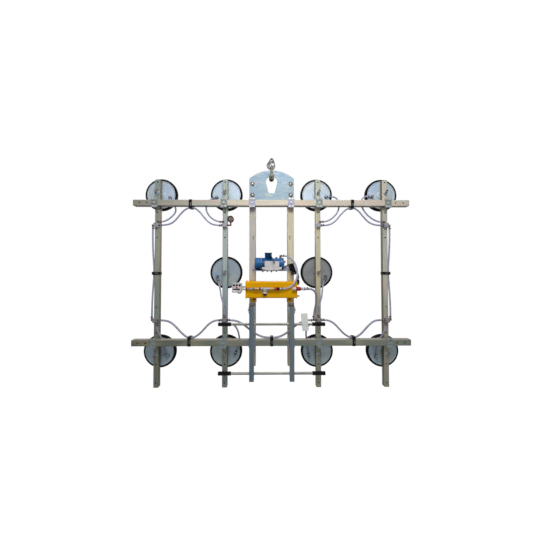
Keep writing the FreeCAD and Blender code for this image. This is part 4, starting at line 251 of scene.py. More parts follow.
mats = {
    # Painted light and shade: darker towards the left end, lighter towards the right, and the bottom beam
    # darker all over.
    "beam": finish(
        "yellow_zinc_beam", [(192, 182, 158), (208, 202, 188), (214, 196, 184), (196, 202, 190),
        (216, 208, 192)], 0.4, **LEVEL_TUBE, edge_wear_and_shade=BRIGHT, marks=[RAW_YELLOW],
        fades=[("X", -0.35, -1.2, (0.58, 0.58, 0.56)), ("X", 0.2, 1.0, (1.08, 1.12, 1.12)),
        ("Z", -0.95, -1.6, (0.37, 0.44, 0.43))]),
    # Painted light and shade: darker towards the foot and on the left, lighter on the right.
    "carrier": finish(
        "yellow_zinc_carrier", [(160, 160, 136), (184, 182, 160), (158, 170, 162), (190, 188, 168)], 0.4,
        **UPRIGHT_TUBE, marks=[RAW_GREEN], fades=[("Z", -0.95, -1.75, (0.62, 0.62, 0.58)),
        ("X", 0.5, -0.5, (0.80, 0.84, 0.82)), ("X", -0.5, 0.5, (1.62, 1.42, 1.40))]),
    # Painted light and shade: darker towards the foot, cooler on the left, lighter and warmer on the right.
    "inner": finish(
        "yellow_zinc_inner", [(162, 174, 168), (192, 190, 168), (176, 188, 188), (198, 194, 176)], 0.4,
        **UPRIGHT_TUBE, marks=[RAW_GREEN], fades=[LOW_PAINTED_SHADE, ("X", 0.2, -0.2, (0.90, 0.98, 1.04)),
        ("X", -0.2, 0.2, (1.28, 1.14, 0.96))]),
    # Painted light and shade: darker towards the foot, lighter and warmer on the right, cooler on the left.
    "post": finish(
        "yellow_zinc_post", [(184, 174, 156), (200, 194, 180), (188, 180, 172), (204, 200, 184)], 0.35,
        **UPRIGHT_TUBE, marks=[RAW_YELLOW], fades=[("Z", -1.2, -1.75, (0.9, 0.9, 0.86)),
        ("X", -0.1, 0.1, (1.2, 1.2, 1.0)), ("X", 0.1, -0.1, (0.98, 1.0, 1.08))]),
    # Painted shade: a darker copy of the zinc for the tubes' side faces.
    "side": finish(
        "yellow_zinc_painted_side_shade", [(124, 112, 92), (144, 132, 112), (116, 110, 94)], 0.3, **UPRIGHT_TUBE,
        fades=[LOW_PAINTED_SHADE]),
    # Painted light: a lighter copy for the bottom beam's top face, which the beam's painted shade would
    # darken.
    "ledge": finish(
        "yellow_zinc_painted_lit_ledge", [(156, 148, 136), (165, 155, 144), (154, 152, 140)], 0.3, **LEVEL_TUBE),
    # Painted shade: a dark copy of the zinc for the beams' undersides.
    "under": finish(
        "yellow_zinc_painted_underside_shade", [(88, 80, 70), (104, 96, 86), (80, 74, 66)], 0.3, **LEVEL_TUBE,
        fades=[LOW_PAINTED_SHADE]),
    "plate": finish(
        "grey_zinc_plate", [(124, 151, 174), (146, 169, 185), (138, 162, 178), (158, 173, 174)], 0.12,
        (0.32, 0.46), 0.05, (0.5, 1, 2.4), edge_wear_and_shade=(196, 186, 180),
        marks=[((206, 200, 174), 0.5, 22, (0.6, 1, 1.2), 0.6, 0.74),
        ((196, 174, 164), 0.4, 26, (0.12, 1, 1.6), 0.62, 0.74)]),
    "clamp": finish(
        "grey_zinc_clamp", [(148, 148, 172), (166, 168, 190), (138, 138, 156)], 0.06, (0.32, 0.5), 0.08,
        edge_wear_and_shade=BRIGHT, fades=[CLAMP_PAINTED_SHADE]),
    "dull_clamp": finish(
        "dull_zinc_clamp", [(116, 126, 124), (146, 158, 156), (104, 112, 112)], 0.05, (0.32, 0.5), 0.08,
        edge_wear_and_shade=BRIGHT, fades=[("Z", -0.95, -1.6, (0.98, 1.02, 1.08))]),
    "bracket": finish(
        "grey_zinc_bracket", [(160, 162, 154), (180, 186, 184), (150, 146, 134)], 0.06, (0.34, 0.5), 0.1,
        edge_wear_and_shade=BRIGHT, fades=[CLAMP_PAINTED_SHADE]),
    # Painted light: lighter towards the right.
    "leg": finish(
        "grey_zinc_leg", [(92, 114, 136), (110, 126, 138), (86, 104, 122)], 0.25, (0.34, 0.5), 0.05,
        ALONG_Z, edge_wear_and_shade=(150, 152, 150), fades=[("X", -0.1, 0.1, (1.22, 1.12, 1.0))]),
    "bar": finish(
        "zinc_bar", [(188, 184, 172), (208, 202, 188), (174, 174, 168)], 0.2, (0.3, 0.46), 0.1, ALONG_X),
    "bolt": finish(
        "bright_zinc_bolt", [(186, 186, 184), (210, 210, 204)], 0.03, (0.25, 0.42), 0.15, fades=[LOW_PAINTED_SHADE]),
    "chrome": finish(
        "polished_dome", [(150, 138, 122), (172, 160, 144)], 0.02, (0.16, 0.24), 0.85, specular=0.6),
    # Painted light and shade: the discs darken below the top row, a little less at the bottom row.
    "disc": finish(
        "disc_zinc", [(180, 202, 224), (200, 216, 234), (188, 204, 216), (208, 216, 218)], 0.2,
        (0.34, 0.48), 0.08, grain=0.03, bump=(300, 0.015), edge_wear_and_shade=BRIGHT,
        marks=[((196, 186, 168), 0.5, 14, EVEN, 0.56, 0.7)], fades=[("Z", -0.4, -0.9, (0.62, 0.64, 0.65)),
        ("Z", -1.2, -1.6, (1.3, 1.32, 1.24))]),
    "warm_disc": finish(
        "warm_disc_zinc", [(130, 132, 133), (144, 147, 150), (136, 138, 135)], 0.2, (0.34, 0.48), 0.08,
        grain=0.03, bump=(300, 0.015), edge_wear_and_shade=BRIGHT),
    "rubber": finish(
        "black_rubber", [(15, 15, 16), (22, 22, 23)], 0.05, (0.5, 0.7), bump=(1400, 0.1),
        marks=[dust((60, 58, 56), 0.1)], specular=0.05),
    "yellow": finish(
        "tank_yellow", [(234, 170, 0), (242, 180, 0), (226, 162, 0)], 0.3, (0.3, 0.42), grain=0.02,
        bump=(260, 0.03), edge_wear_and_shade=(150, 124, 70), marks=[dust((176, 128, 10), 0.06)], specular=0.04),
    # Painted shade: the pump darkens on its lower half and along its top.
    "blue": finish(
        "pump_blue", [(4, 82, 138), (8, 102, 166), (2, 62, 112)], 0.06, (0.2, 0.3), bump=(300, 0.04),
        edge_wear_and_shade=(60, 110, 150), marks=[dust((40, 84, 118), 0.06)],
        fades=[("Z", -0.93, -0.99, (0.3, 0.36, 0.42)), ("Z", -0.905, -0.885, (0.5, 0.6, 0.7))]),
    "navy": finish(
        "terminal_blue", [(1, 50, 94), (3, 60, 112)], 0.05, (0.3, 0.44), bump=(300, 0.04), specular=0.04),
    "box": finish("box_grey", [(210, 206, 210), (222, 218, 221)], 0.05, (0.4, 0.55), bump=(700, 0.05)),
    "panel": finish("panel_grey", [(200, 206, 211), (212, 218, 224)], 0.04, (0.35, 0.5)),
    # Partly painted shade: the tubes' insides are bare steel, made near black for the shade in them.
    "hollow": finish("tube_inside_painted_shade", [(18, 16, 14), (28, 25, 22)], 0.1, (0.6, 0.8), specular=0.02),
    "black": finish(
        "black_plastic", [(13, 13, 15), (21, 21, 24)], 0.04, (0.36, 0.5), bump=(900, 0.06), specular=0.08),
    "grip": finish(
        "grip_vinyl", [(6, 6, 9), (11, 11, 15)], 0.04, (0.34, 0.46), bump=(700, 0.04), specular=0.08),
    "cable": finish(
        "cable_jacket", [(7, 7, 8), (13, 13, 14)], 0.03, (0.1, 0.18), bump=(900, 0.02), specular=0.1),
    "brass": finish(
        "brass", [(142, 108, 62), (178, 144, 92), (106, 82, 50)], 0.03, (0.22, 0.36), 0.2,
        edge_wear_and_shade=(216, 196, 146)),
    "line": finish(
        "line_steel", [(92, 80, 70), (136, 124, 112), (66, 56, 48)], 0.03, (0.18, 0.3), 0.1,
        edge_wear_and_shade=(206, 196, 180), specular=0.5),
    "cream": finish("cream_fitting", [(200, 184, 158), (218, 202, 178)], 0.03, (0.3, 0.45), 0.1),
    "white": finish(
        "filter_white", [(222, 218, 206), (232, 228, 218)], 0.04, (0.35, 0.5), bump=(500, 0.03)),
    "smoke": finish("smoke_plastic", [(60, 61, 66), (78, 80, 86)], 0.03, (0.3, 0.45), specular=0.1),
    "red": finish(
        "mark_red", [(196, 20, 22), (212, 32, 30)], 0.03, (0.3, 0.42), bump=(400, 0.04), specular=0.1),
    "crimson": finish(
        "sleeve_red", [(158, 20, 30), (176, 28, 36)], 0.03, (0.26, 0.38), bump=(400, 0.04), specular=0.15),
    "dark_red": finish("band_red", [(96, 12, 16), (116, 18, 22)], 0.03, (0.35, 0.5), specular=0.1),
    "pink": finish("mark_pink", [(206, 140, 146), (216, 156, 160)], 0.02, (0.4, 0.55)),
    "orange": finish("plug_orange", [(226, 84, 36), (236, 102, 50)], 0.02, (0.35, 0.5), specular=0.1),
    "maroon": finish("gauge_maroon", [(52, 26, 30), (68, 36, 40)], 0.03, (0.3, 0.45), specular=0.1),
    "dial": finish("gauge_dial", [(144, 132, 122), (158, 148, 138)], 0.03, (0.45, 0.6), specular=0.1),
    "fitting": finish(
        "bronze_fitting", [(84, 62, 50), (112, 86, 70), (62, 46, 38)], 0.03, (0.3, 0.46), 0.1,
        edge_wear_and_shade=(176, 150, 120)),
    "hose": finish(
        "hose_clear", [(162, 165, 194), (178, 181, 208), (154, 157, 186)], 0.08, (0.2, 0.3), grain=0.03,
        bump=(200, 0.01), fades=[("Z", -0.95, -1.75, (0.94, 0.89, 0.78))]),
    "steel": finish(
        "hook_steel", [(40, 36, 38), (86, 82, 86), (124, 120, 124)], 0.016, (0.28, 0.4), 0.1,
        edge_wear_and_shade=(150, 146, 150)),
    "olive": finish(
        "shackle_olive", [(78, 72, 54), (138, 132, 108), (108, 102, 82)], 0.02, (0.28, 0.44), 0.1,
        edge_wear_and_shade=(196, 194, 176), fades=[("Z", -0.10, -0.16, (0.5, 0.48, 0.42))], specular=0.25),
    "alloy": finish(
        "block_alloy", [(156, 156, 168), (180, 180, 190)], 0.03, (0.28, 0.42), 0.1, edge_wear_and_shade=BRIGHT,
        fades=[LOW_PAINTED_SHADE]),
    "card": finish("tag_card", [(242, 252, 252), (252, 252, 244)], 0.05, (0.45, 0.6), bump=(900, 0.02)),
    "glass": finish(
        "gauge_glass", [(248.15, 249.31, 249.31), (251.61, 251.61, 251.61)], 0.04, (0.02, 0.05), grain=0.0,
        bump=(80, 0.005), sockets={"Transmission Weight": 1.0, "IOR": 1.3}),
}


# Finishes of the CAD parts

def dress(material, *names):
    for name in names:
        slots = NODES[name].data.materials
        slots.clear()
        slots.append(mats[material])


def paint(name, material, test):
    """A further finish on those faces of a CAD part whose middle, in millimetres, passes the test."""
    data = NODES[name].data
    data.materials.append(mats[material])
    index = len(data.materials) - 1
    for face in data.polygons:
        if test(face.center / MM):
            face.material_index = index


FACE_DEPTH, WALL_DEPTH, CORNER_DEPTH, END_DEPTH = 0.4, 0.3, 9, 1


def within(across, along, half):
    """Whether a spot, measured from a tube's middle, lies inside its walls and not in its round corners."""
    low, high = sorted((abs(across), abs(along)))
    return high < half - WALL_DEPTH and low < half - CORNER_DEPTH


for name, level in BEAM_LEVELS.items():
    dress("beam", name)
    # Painted shade: the undersides take the darker copy.
    paint(name, "under", lambda p: p.z < level - BEAM_HALF + FACE_DEPTH)
    # Partly painted shade: the inside, hole walls included, is bare steel made near black.
    paint(name, "hollow", lambda p: (
        within(p.y - BEAM_Y, p.z - level, BEAM_HALF) and abs(p.x) < BEAM_END - END_DEPTH))
# Painted light: the bottom beam's top face takes the lighter copy.
paint("bottom_beam", "ledge", lambda p: p.z > BEAM_LEVELS["bottom_beam"] + BEAM_HALF - FACE_DEPTH)
for name, material, column, (middle, half, top, foot) in (
        ("centre_posts", "post", POST, POST_TUBE), ("outer_carriers", "carrier", OUTER, CARRIER_TUBE),
        ("inner_carriers", "inner", INNER, CARRIER_TUBE)):
    dress(material, name)
    # Painted shade: the side faces take the darker copy.
    paint(name, "side", lambda p: abs(abs(p.x) - column) > half - FACE_DEPTH)
    # Partly painted shade: the inside, hole walls included, is bare steel made near black.
    paint(name, "hollow", lambda p: (
        within(abs(p.x) - column, p.y - middle, half) and foot + END_DEPTH < p.z < top - END_DEPTH))
# Single parts, with the limits in millimetres at which a part changes its finish
dress("leg", "handle_frame")
paint("handle_frame", "bar", lambda p: p.y > -62.2)
dress("plate", "lifting_plate")
dress("clamp", "clamp_plates", "support_brackets")
paint("clamp_plates", "dull_clamp", lambda p: abs(p.x) > 300)
dress("bracket", "handle_brackets")
dress("bolt", "frame_bolts")
paint("frame_bolts", "chrome", lambda p: abs(abs(p.x) - POST) < 17 and p.z > -334 and p.y < -5.9)
paint("frame_bolts", "smoke", lambda p: abs(abs(p.x) - 159) < 14 and -1264 < p.z < -1228 and p.y < 0)
dress("yellow", "vacuum_tank")
dress("blue", "motor_housing", "fan_cowl", "pump_housing")
dress("navy", "terminal_box")
paint("pump_housing", "orange", lambda p: p.x > 109.2)
paint("terminal_box", "black", lambda p: p.y < -97.2 or p.y > -34.8)
dress("box", "pump_filter_box", "monitor_housing")
paint("pump_filter_box", "white", lambda p: p.x < -61.3 or p.x > 63.3)
dress("black", "cooling_fan", "hose_straps", "monitor_key_left", "monitor_key_middle", "monitor_key_right",
      "cable_plug")
dress("maroon", "gauge_case")
dress("dark_red", "gauge_needle")
dress("fitting", "hose_fittings")
paint("hose_fittings", "brass", lambda p: -20.5 < p.x < 30 and p.y < -150)
paint("hose_fittings", "black", lambda p: 30 <= p.x < 77 and p.y < -150)
paint("hose_fittings", "steel", lambda p: p.x > 212 and -110 < p.y < -90 and -1235 < p.z < -1205)
dress("steel", "hook_body", "hook_latch")
dress("line", "vacuum_line")
paint("vacuum_line", "cream", lambda p: p.x < -215.9 and p.y < -150)
paint("vacuum_line", "brass", lambda p: -150.1 < p.x < -103.9)
dress("olive", "lifting_shackle")
dress("alloy", "manifold_blocks", "valve_body")
paint("valve_body", "white", lambda p: p.x < 198.1)
dress("alloy", "line_filter")
paint("line_filter", "white", lambda p: -1189.5 < p.z < -1164.5)
paint("line_filter", "smoke", lambda p: p.z <= -1189.5)
dress("crimson", "valve_sleeve")
dress("grip", "handle_grips")
for pad in PADS:
    dress("warm_disc" if pad == "inner_right_mid" else "disc", f"pad_plate_{pad}")
    dress("rubber", f"pad_seal_{pad}")


# Mesh building, in millimetres

SHARP_DEGREES = 38
SOFT_RING, SOFT_PLATE = 0.6, 0.5
CORNER_STEPS = 4
RIPPLE_DEPTH, RIPPLE_RATE = 0.18, 2.1


def frame_of(origin, along):
    """A placement whose Z axis runs along the given direction."""
    turn = Vector(along).to_track_quat("Z", "Y").to_matrix().to_4x4()
    return Matrix.Translation(origin) @ turn


def facing(x, y, z, roll=0.0):
    """A placement on a face towards the front: its own X is across, its Y is up and its Z comes forward."""
    front = Matrix(((1, 0, 0, 0), (0, 0, -1, 0), (0, 1, 0, 0), (0, 0, 0, 1)))
    return Matrix.Translation((x, y, z)) @ front @ Matrix.Rotation(math.radians(roll), 4, "Z")


def piece(name, bm, materials, body="frame"):
    """A mesh object of the built faces that rides on a body."""
    bmesh.ops.recalc_face_normals(bm, faces=bm.faces)
    bmesh.ops.scale(bm, vec=(MM, MM, MM), verts=bm.verts)
    data = bpy.data.meshes.new(name)
    bm.to_mesh(data)
    bm.free()
    for material in materials:
        data.materials.append(mats[material])
    for face in data.polygons:
        face.use_smooth = True
    data.set_sharp_from_angle(angle=math.radians(SHARP_DEGREES))
    made = bpy.data.objects.new(name, data)
    scene.collection.objects.link(made)
    if body:
        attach(made, body)
    return made


def skin(bm, rings, index, closed=False):
    """Faces between rings of vertices, with the ends capped or joined to each other."""
    pairs = list(zip(rings, rings[1:]))
    if closed:
        pairs.append((rings[-1], rings[0]))
    for first, second in pairs:
        sides = len(first)
        for k in range(sides):
            corners = (first[k], first[(k + 1) % sides], second[(k + 1) % sides], second[k])
            bm.faces.new(corners).material_index = index
    if not closed:
        for ring in (rings[0], rings[-1]):
            bm.faces.new(ring).material_index = index


def round_steps(count):
    """The cosine and sine of even steps round a circle."""
    angles = [2 * math.pi * k / count for k in range(count)]
    return [(math.cos(angle), math.sin(angle)) for angle in angles]


def sweep(bm, points, radius, sides=14, index=0, around=None):
    """A round bar along points; radius is one number or a list. Around closes the bar into a flat loop."""
    rings = []
    normal = around
    count = len(points)
    for i, point in enumerate(points):
        before, after = points[max(i - 1, 0)], points[min(i + 1, count - 1)]
        if around:
            before, after = points[i - 1], points[(i + 1) % count]
        along = (after - before).normalized()
        if normal is None:
            normal = along.orthogonal().normalized()
        normal = (normal - along * normal.dot(along)).normalized()
        side = along.cross(normal)
        size = radius[i] if isinstance(radius, list) else radius
        rings.append([bm.verts.new(point + (normal * c + side * s) * size) for c, s in round_steps(sides)])
    skin(bm, rings, index, closed=bool(around))


def lathe(bm, place, profile, sides=24, index=0, ring=False):
    """A turned form from (along, radius) points about the placement's Z axis; a ring is open inside."""
    rings = []
    for along, radius in profile:
        circle = [Vector((radius * c, radius * s, along)) for c, s in round_steps(sides)]
        rings.append([bm.verts.new(place @ point) for point in circle])
    skin(bm, rings, index, closed=ring)


def band(bm, place, inner, outer, width, sides=24, index=0):
    """A ring with broken outer edges, from the placement's XY plane up."""
    soft = min(SOFT_RING, width / 4, (outer - inner) / 2)
    profile = [(0, inner), (0, outer - soft), (soft, outer), (width - soft, outer), (width, outer - soft),
               (width, inner)]
    lathe(bm, place, profile, sides, index, ring=True)


def nut(bm, place, radius, height, index=0):
    """A hexagon with its outer corners turned off."""
    lathe(bm, place, [(0, radius), (height * 0.8, radius), (height, radius * 0.86)], 6, index)


def rounded(width, height, corner, inset=0):
    """Points round a rectangle with round corners, set in from its outline."""
    points = []
    for across, up, start in ((1, 1, 0), (-1, 1, 90), (-1, -1, 180), (1, -1, 270)):
        for step in range(CORNER_STEPS + 1):
            angle = math.radians(start + 90 * step / CORNER_STEPS)
            x = across * (width / 2 - corner) + (corner - inset) * math.cos(angle)
            y = up * (height / 2 - corner) + (corner - inset) * math.sin(angle)
            points.append((x, y))
    return points


def slab(bm, place, width, height, thick, corner, index=0):
    """A plate with round corners and broken edges, rising from the placement along its Z axis."""
    soft = min(SOFT_PLATE, thick / 3)
    rings = []
    for inset, level in ((soft, 0), (0, soft), (0, thick - soft), (soft, thick)):
        outline = rounded(width, height, corner, inset)
        rings.append([bm.verts.new(place @ Vector((x, y, level))) for x, y in outline])
    skin(bm, rings, index)


def bead(bm, points, radius, around=None):
    """A weld along points, with the ripple of its passes."""
    sizes = [radius * (1 + RIPPLE_DEPTH * math.sin(RIPPLE_RATE * i)) for i in range(len(points))]
    sweep(bm, points, sizes, 8, around=around)


def loop(centre, across, up, width, height, corner, step=4):
    """Points every few millimetres round a rectangle with round corners."""
    points = [centre + Vector(across) * x + Vector(up) * y for x, y in rounded(width, height, corner)]
    filled = []
    for first, second in zip(points, points[1:] + points[:1]):
        pieces = max(1, round((second - first).length / step))
        filled += [first.lerp(second, k / pieces) for k in range(pieces)]
    return filled


# Hoses and cables

SLIM, MAIN, CABLE = 7.5, 9, 4
LEAD = 30


def bearing(degrees):
    angle = math.radians(degrees)
    return math.cos(angle), 0, math.sin(angle)


# Each link hose: radius, length, start, direction there, points between, end, direction out of the end
LINKS = {
    "top_left": (SLIM, 660, (-1001, -9, -594), RIGHT, [
        (-912, -12, -585), (-866, -15, -556), (-826, -17, -506), (-786, -19, -463), (-744, -19, -438),
        (-694, -19, -438), (-654, -19, -465), (-614, -17, -513), (-576, -15, -560), (-532, -12, -588)],
        (-456.5, -9, -594), LEFT),
    "top_right": (SLIM, 658, (456.5, -9, -594), RIGHT, [
        (532, -12, -586), (576, -15, -556), (616, -17, -506), (656, -19, -463), (696, -19, -438),
        (742, -19, -438), (782, -19, -463), (822, -17, -511), (862, -15, -556), (908, -12, -584)],
        (1001, -9, -594), LEFT),
    "low_left": (MAIN, 650, (-1001, -9, -1444), RIGHT, [
        (-918, -12, -1450), (-876, -15, -1474), (-836, -17, -1513), (-794, -19, -1557), (-746, -19, -1595),
        (-692, -19, -1596), (-642, -19, -1565), (-600, -17, -1521), (-562, -15, -1478), (-522, -12, -1452)],
        (-456.5, -9, -1444), LEFT),
    "low_middle": (MAIN, 838, (-388.5, -9, -1444), RIGHT, [
        (-306, -12, -1450), (-252, -15, -1478), (-200, -17, -1521), (-144, -19, -1563), (-72, -19, -1593),
        (-6, -19, -1596), (62, -19, -1593), (132, -19, -1558), (192, -17, -1507), (246, -14, -1468),
        (304, -11, -1448)],
        (366.5, -9, -1444), LEFT),
    "low_right": (MAIN, 651, (456.5, -9, -1444), RIGHT, [
        (524, -12, -1452), (564, -15, -1478), (602, -17, -1521), (644, -19, -1565), (694, -19, -1596),
        (748, -19, -1596), (798, -19, -1563), (840, -17, -1517), (880, -15, -1476), (920, -12, -1450)],
        (1001, -9, -1444), LEFT),
    "drop_left": (SLIM, 818, (-1066, -9, -612), DOWN, [
        (-1067, -7, -702), (-1069, 2, -802), (-1070, 17, -902), (-1069, 26, -978), (-1069, 26, -1062),
        (-1070, 17, -1140), (-1069, 2, -1240), (-1067, -7, -1338)],
        (-1066, -9, -1426), UP),
    "drop_right": (SLIM, 818, (1066, -9, -612), DOWN, [
        (1067, -7, -700), (1069, 2, -800), (1070, 17, -902), (1069, 26, -978), (1069, 26, -1062),
        (1070, 17, -1140), (1069, 2, -1242), (1067, -7, -1340)],
        (1066, -9, -1426), UP),
    "valve": (MAIN, 375, (286, -162, -1151), RIGHT, [
        (343, -157, -1160), (366, -142, -1182), (381, -112, -1223), (386, -75, -1279), (383, -38, -1334)],
        (377.5, -9, -1424), UP),
    "pump": (SLIM, 452, (93, -66, -873), RIGHT, [
        (150, -68, -882), (178, -74, -904), (202, -84, -938), (216, -98, -982), (219, -118, -1028),
        (209, -140, -1072), (186, -155, -1110), (152, -161, -1138)],
        (76, -162, -1151), RIGHT),
}
# Each pad hose: length, start at its elbow, direction there, points between, end, direction out of the end
PAD_HOSES = {
    "outer_left_top": (318, (-939.8, 58, -341.2), bearing(-70), [
        (-900, 54, -402), (-882, 44, -438), (-884, 30, -476), (-910, 12, -516), (-945, -3, -549)],
        (-1005, -9, -562), RIGHT),
    "inner_left_top": (363, (-532.5, 58, -325.3), bearing(200), [
        (-586, 54, -356), (-601, 44, -390), (-602, 28, -436), (-582, 8, -486), (-540, -5, -534)],
        (-452.5, -9, -562), LEFT),
    "inner_right_top": (416, (535.5, 58, -310.9), RIGHT, [
        (595, 57, -318), (617, 52, -340), (626, 40, -382), (618, 21, -438), (587, 2, -494), (537, -7, -539)],
        (452.5, -9, -562), RIGHT),
    "outer_right_top": (420, (921.4, 58, -307.8), LEFT, [
        (863, 57, -316), (842, 52, -338), (832, 40, -382), (837, 21, -436), (862, 2, -488), (905, -7, -531),
        (945, -9, -553)],
        (1005, -9, -562), LEFT),
    "inner_left_mid": (351, (-497.7, 58, -1083.5), bearing(-74), [
        (-479, 51, -1146), (-467, 32, -1188), (-456, 7, -1232), (-438, -11, -1278), (-424, -15, -1332)],
        (-422.5, -9, -1410), UP),
    "inner_right_mid": (355, (495.9, 58, -1079.4), bearing(-114), [
        (474, 51, -1142), (464, 32, -1186), (455, 7, -1230), (437, -11, -1276), (424, -15, -1330)],
        (422.5, -9, -1410), UP),
    "outer_left_low": (315, (-968.2, 58, -1773.7), bearing(120), [
        (-990, 55, -1718), (-989, 44, -1676), (-990, 27, -1632), (-998, 8, -1590), (-1013, -6, -1548)],
        (-1022, -9, -1478), DOWN),
    "inner_left_low": (350, (-326.5, 58, -1753.4), bearing(68), [
        (-304, 54, -1696), (-296, 44, -1656), (-292, 27, -1610), (-297, 10, -1564), (-309, -3, -1522),
        (-331, -8, -1489)],
        (-392.5, -9, -1476), RIGHT),
    "inner_right_low": (364, (342.4, 58, -1774.9), bearing(99), [
        (332, 54, -1712), (324, 44, -1668), (316, 27, -1620), (309, 10, -1570), (311, -3, -1525),
        (331, -8, -1490)],
        (392.5, -9, -1476), LEFT),
    "outer_right_low": (327, (966.5, 58, -1785.9), bearing(92), [
        (963, 54, -1722), (966, 42, -1678), (977, 28, -1634), (995, 9, -1592), (1011, -5, -1550)],
        (1022, -9, -1478), DOWN),
}
CABLE_ROUTE = [
    (-12, -23, -868), (-12, 10, -868), (4, 32, -888), (38, 30, -920), (70, 8, -946), (108, -16, -970)]
CURL_AXIS = (170, -40, -944), (214, -40, -1070)
CURL_RADIUS, CURL_PITCH, CURL_TURNS, CURL_LEAD = 25, 12, 8.25, 24
CURL_STEPS = 14
CABLE_TAIL = (0, -17, -17), (0, 0, -24)
JUMPER_ROUTE = [
    (-12, -109, -868), (-12, -147, -868), (-8, -163, -876), (0, -172, -891), (8, -172, -907),
    (16, -163, -922), (20, -147, -930), (20, -128, -930)]
RIB_STEP, RIB_PITCH, RIB_HEIGHT = 1.5, 3, 0.7
BAND_INSET, BAND_WIDTH = 6, 9


def led(start, out, between, end, back):
    """A hose's points: straight out of both ends for a lead, with the route between."""
    start, end = Vector(start), Vector(end)
    middle = [Vector(point) for point in between]
    return [start, start + Vector(out) * LEAD, *middle, end + Vector(back) * LEAD, end]


def route_curve(name, points, radius):
    """A smooth spline with the route's points, given in millimetres, as its control points."""
    data = bpy.data.curves.new(name, "CURVE")
    data.dimensions = "3D"
    data.resolution_u = 12
    data.bevel_depth = radius * MM
    data.bevel_resolution = 5
    data.use_fill_caps = True
    spline = data.splines.new("NURBS")
    spline.points.add(len(points) - 1)
    for target, point in zip(spline.points, points):
        target.co = (*(point * MM), 1)
    spline.order_u = 3
    spline.use_endpoint_u = True
    return bpy.data.objects.new(name, data)


def spline_points(name, points):
    """The points, in millimetres, down a route's smooth spline."""
    bare = route_curve(name, points, 0)
    mesh = bpy.data.meshes.new_from_object(bare)
    line = [vertex.co / MM for vertex in mesh.vertices]
    bpy.data.meshes.remove(mesh)
    bpy.data.curves.remove(bare.data)
    return line


def shown_cord(made, material, body, node):
    scene.collection.objects.link(made)
    made.data.materials.append(mats[material])
    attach(made, body)
    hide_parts(node)
    return made


def clamp_band(bm, point, along, radius):
    """A band clamp round a hose's end, with its screw housing."""
    along = Vector(along)
    start = Vector(point) + along * BAND_INSET
    band(bm, frame_of(start, along), radius - 0.2, radius + 1.4, BAND_WIDTH, 20)
    side = along.cross(Vector(BACK)).normalized()
    screw = start + along * (BAND_WIDTH / 2) + side * (radius + 0.6)
    slab(bm, frame_of(screw, side), 8, 11, 4.5, 1.2)


def strain_relief(bm, line, reach, thick, thin):
    """A ribbed boot that tapers along the first stretch of a cable's spline."""
    kept, sizes, gone = [line[0]], [thick], 0.0
    for first, second in zip(line, line[1:]):
        span = (second - first).length
        pieces = max(1, round(span / RIB_STEP))
        for k in range(1, pieces + 1):
            way = gone + span * k / pieces
            if way > reach:
                break
            rib = RIB_HEIGHT if int(way / RIB_PITCH) % 2 else 0.0
            kept.append(first.lerp(second, k / pieces))
            sizes.append(thick + (thin - thick) * way / reach + rib)
        gone += span
        if gone > reach:
            break
    sweep(bm, kept, sizes, 18)


frame_bands = bmesh.new()
for name, (radius, length, start, out, between, end, back) in LINKS.items():
    hose = route_curve(f"hose_{name}", led(start, out, between, end, back), radius)
    shown_cord(hose, "hose", "frame", "link_hoses")
    clamp_band(frame_bands, start, out, radius)
    clamp_band(frame_bands, end, back, radius)

for name, (length, start, out, between, end, back) in PAD_HOSES.items():
    route = led(start, out, between, end, back)
    line = spline_points(f"line_{name}", route)
    bm = bmesh.new()
    sweep(bm, line, SLIM, 16)
    hose = piece(f"hose_{name}", bm, ["hose"], None)
    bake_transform(hose)
    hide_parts("pad_hoses")
    clamp_band(frame_bands, end, back, SLIM)
    bm = bmesh.new()
    clamp_band(bm, start, out, SLIM)
    piece(f"pad_hose_band_{name}", bm, ["smoke"], f"pad_{name}")
piece("hose_bands", frame_bands, ["fitting"])

curl_start, curl_end = Vector(CURL_AXIS[0]), Vector(CURL_AXIS[1])
curl_along = (curl_end - curl_start).normalized()
curl_back = Vector(BACK)
curl_side = curl_along.cross(curl_back)


def curl_point(turns):
    angle = 2 * math.pi * turns
    out = curl_back * math.cos(angle) + curl_side * math.sin(angle)
    return curl_start + curl_along * CURL_PITCH * turns + out * CURL_RADIUS


curl_count = round(CURL_TURNS * CURL_STEPS)
curl = [curl_point(CURL_TURNS * i / curl_count) for i in range(curl_count + 1)]
lead_in = (curl[0] - curl[1]).normalized() * CURL_LEAD
lead_out = (curl[-1] - curl[-2]).normalized() * CURL_LEAD
tail = [curl[-1] + lead_out]
for step in CABLE_TAIL:
    tail.append(tail[-1] + Vector(step))
cable_points = [Vector(p) for p in CABLE_ROUTE] + [curl[0] + lead_in] + curl + tail
cable_line = spline_points("line_cable", cable_points)
jumper_points = [Vector(p) for p in JUMPER_ROUTE]
jumper_line = spline_points("line_jumper", jumper_points)
bm = bmesh.new()
strain_relief(bm, cable_line[::-1], 24, 6.8, 4.6)
plug_boot = piece("plug_boot", bm, ["rubber"])
bm = bmesh.new()
strain_relief(bm, cable_line, 30, 6.6, 4.5)
strain_relief(bm, jumper_line, 24, 6.6, 4.5)
strain_relief(bm, jumper_line[::-1], 20, 6.2, 4.5)
piece("cable_boots", bm, ["rubber"])
cable = shown_cord(route_curve("power_cable_curly", cable_points, CABLE), "cable", "frame", "power_cable")
jumper = shown_cord(route_curve("jumper_lead", jumper_points, CABLE), "cable", "frame", "power_cable")


# Springs behind the carriers

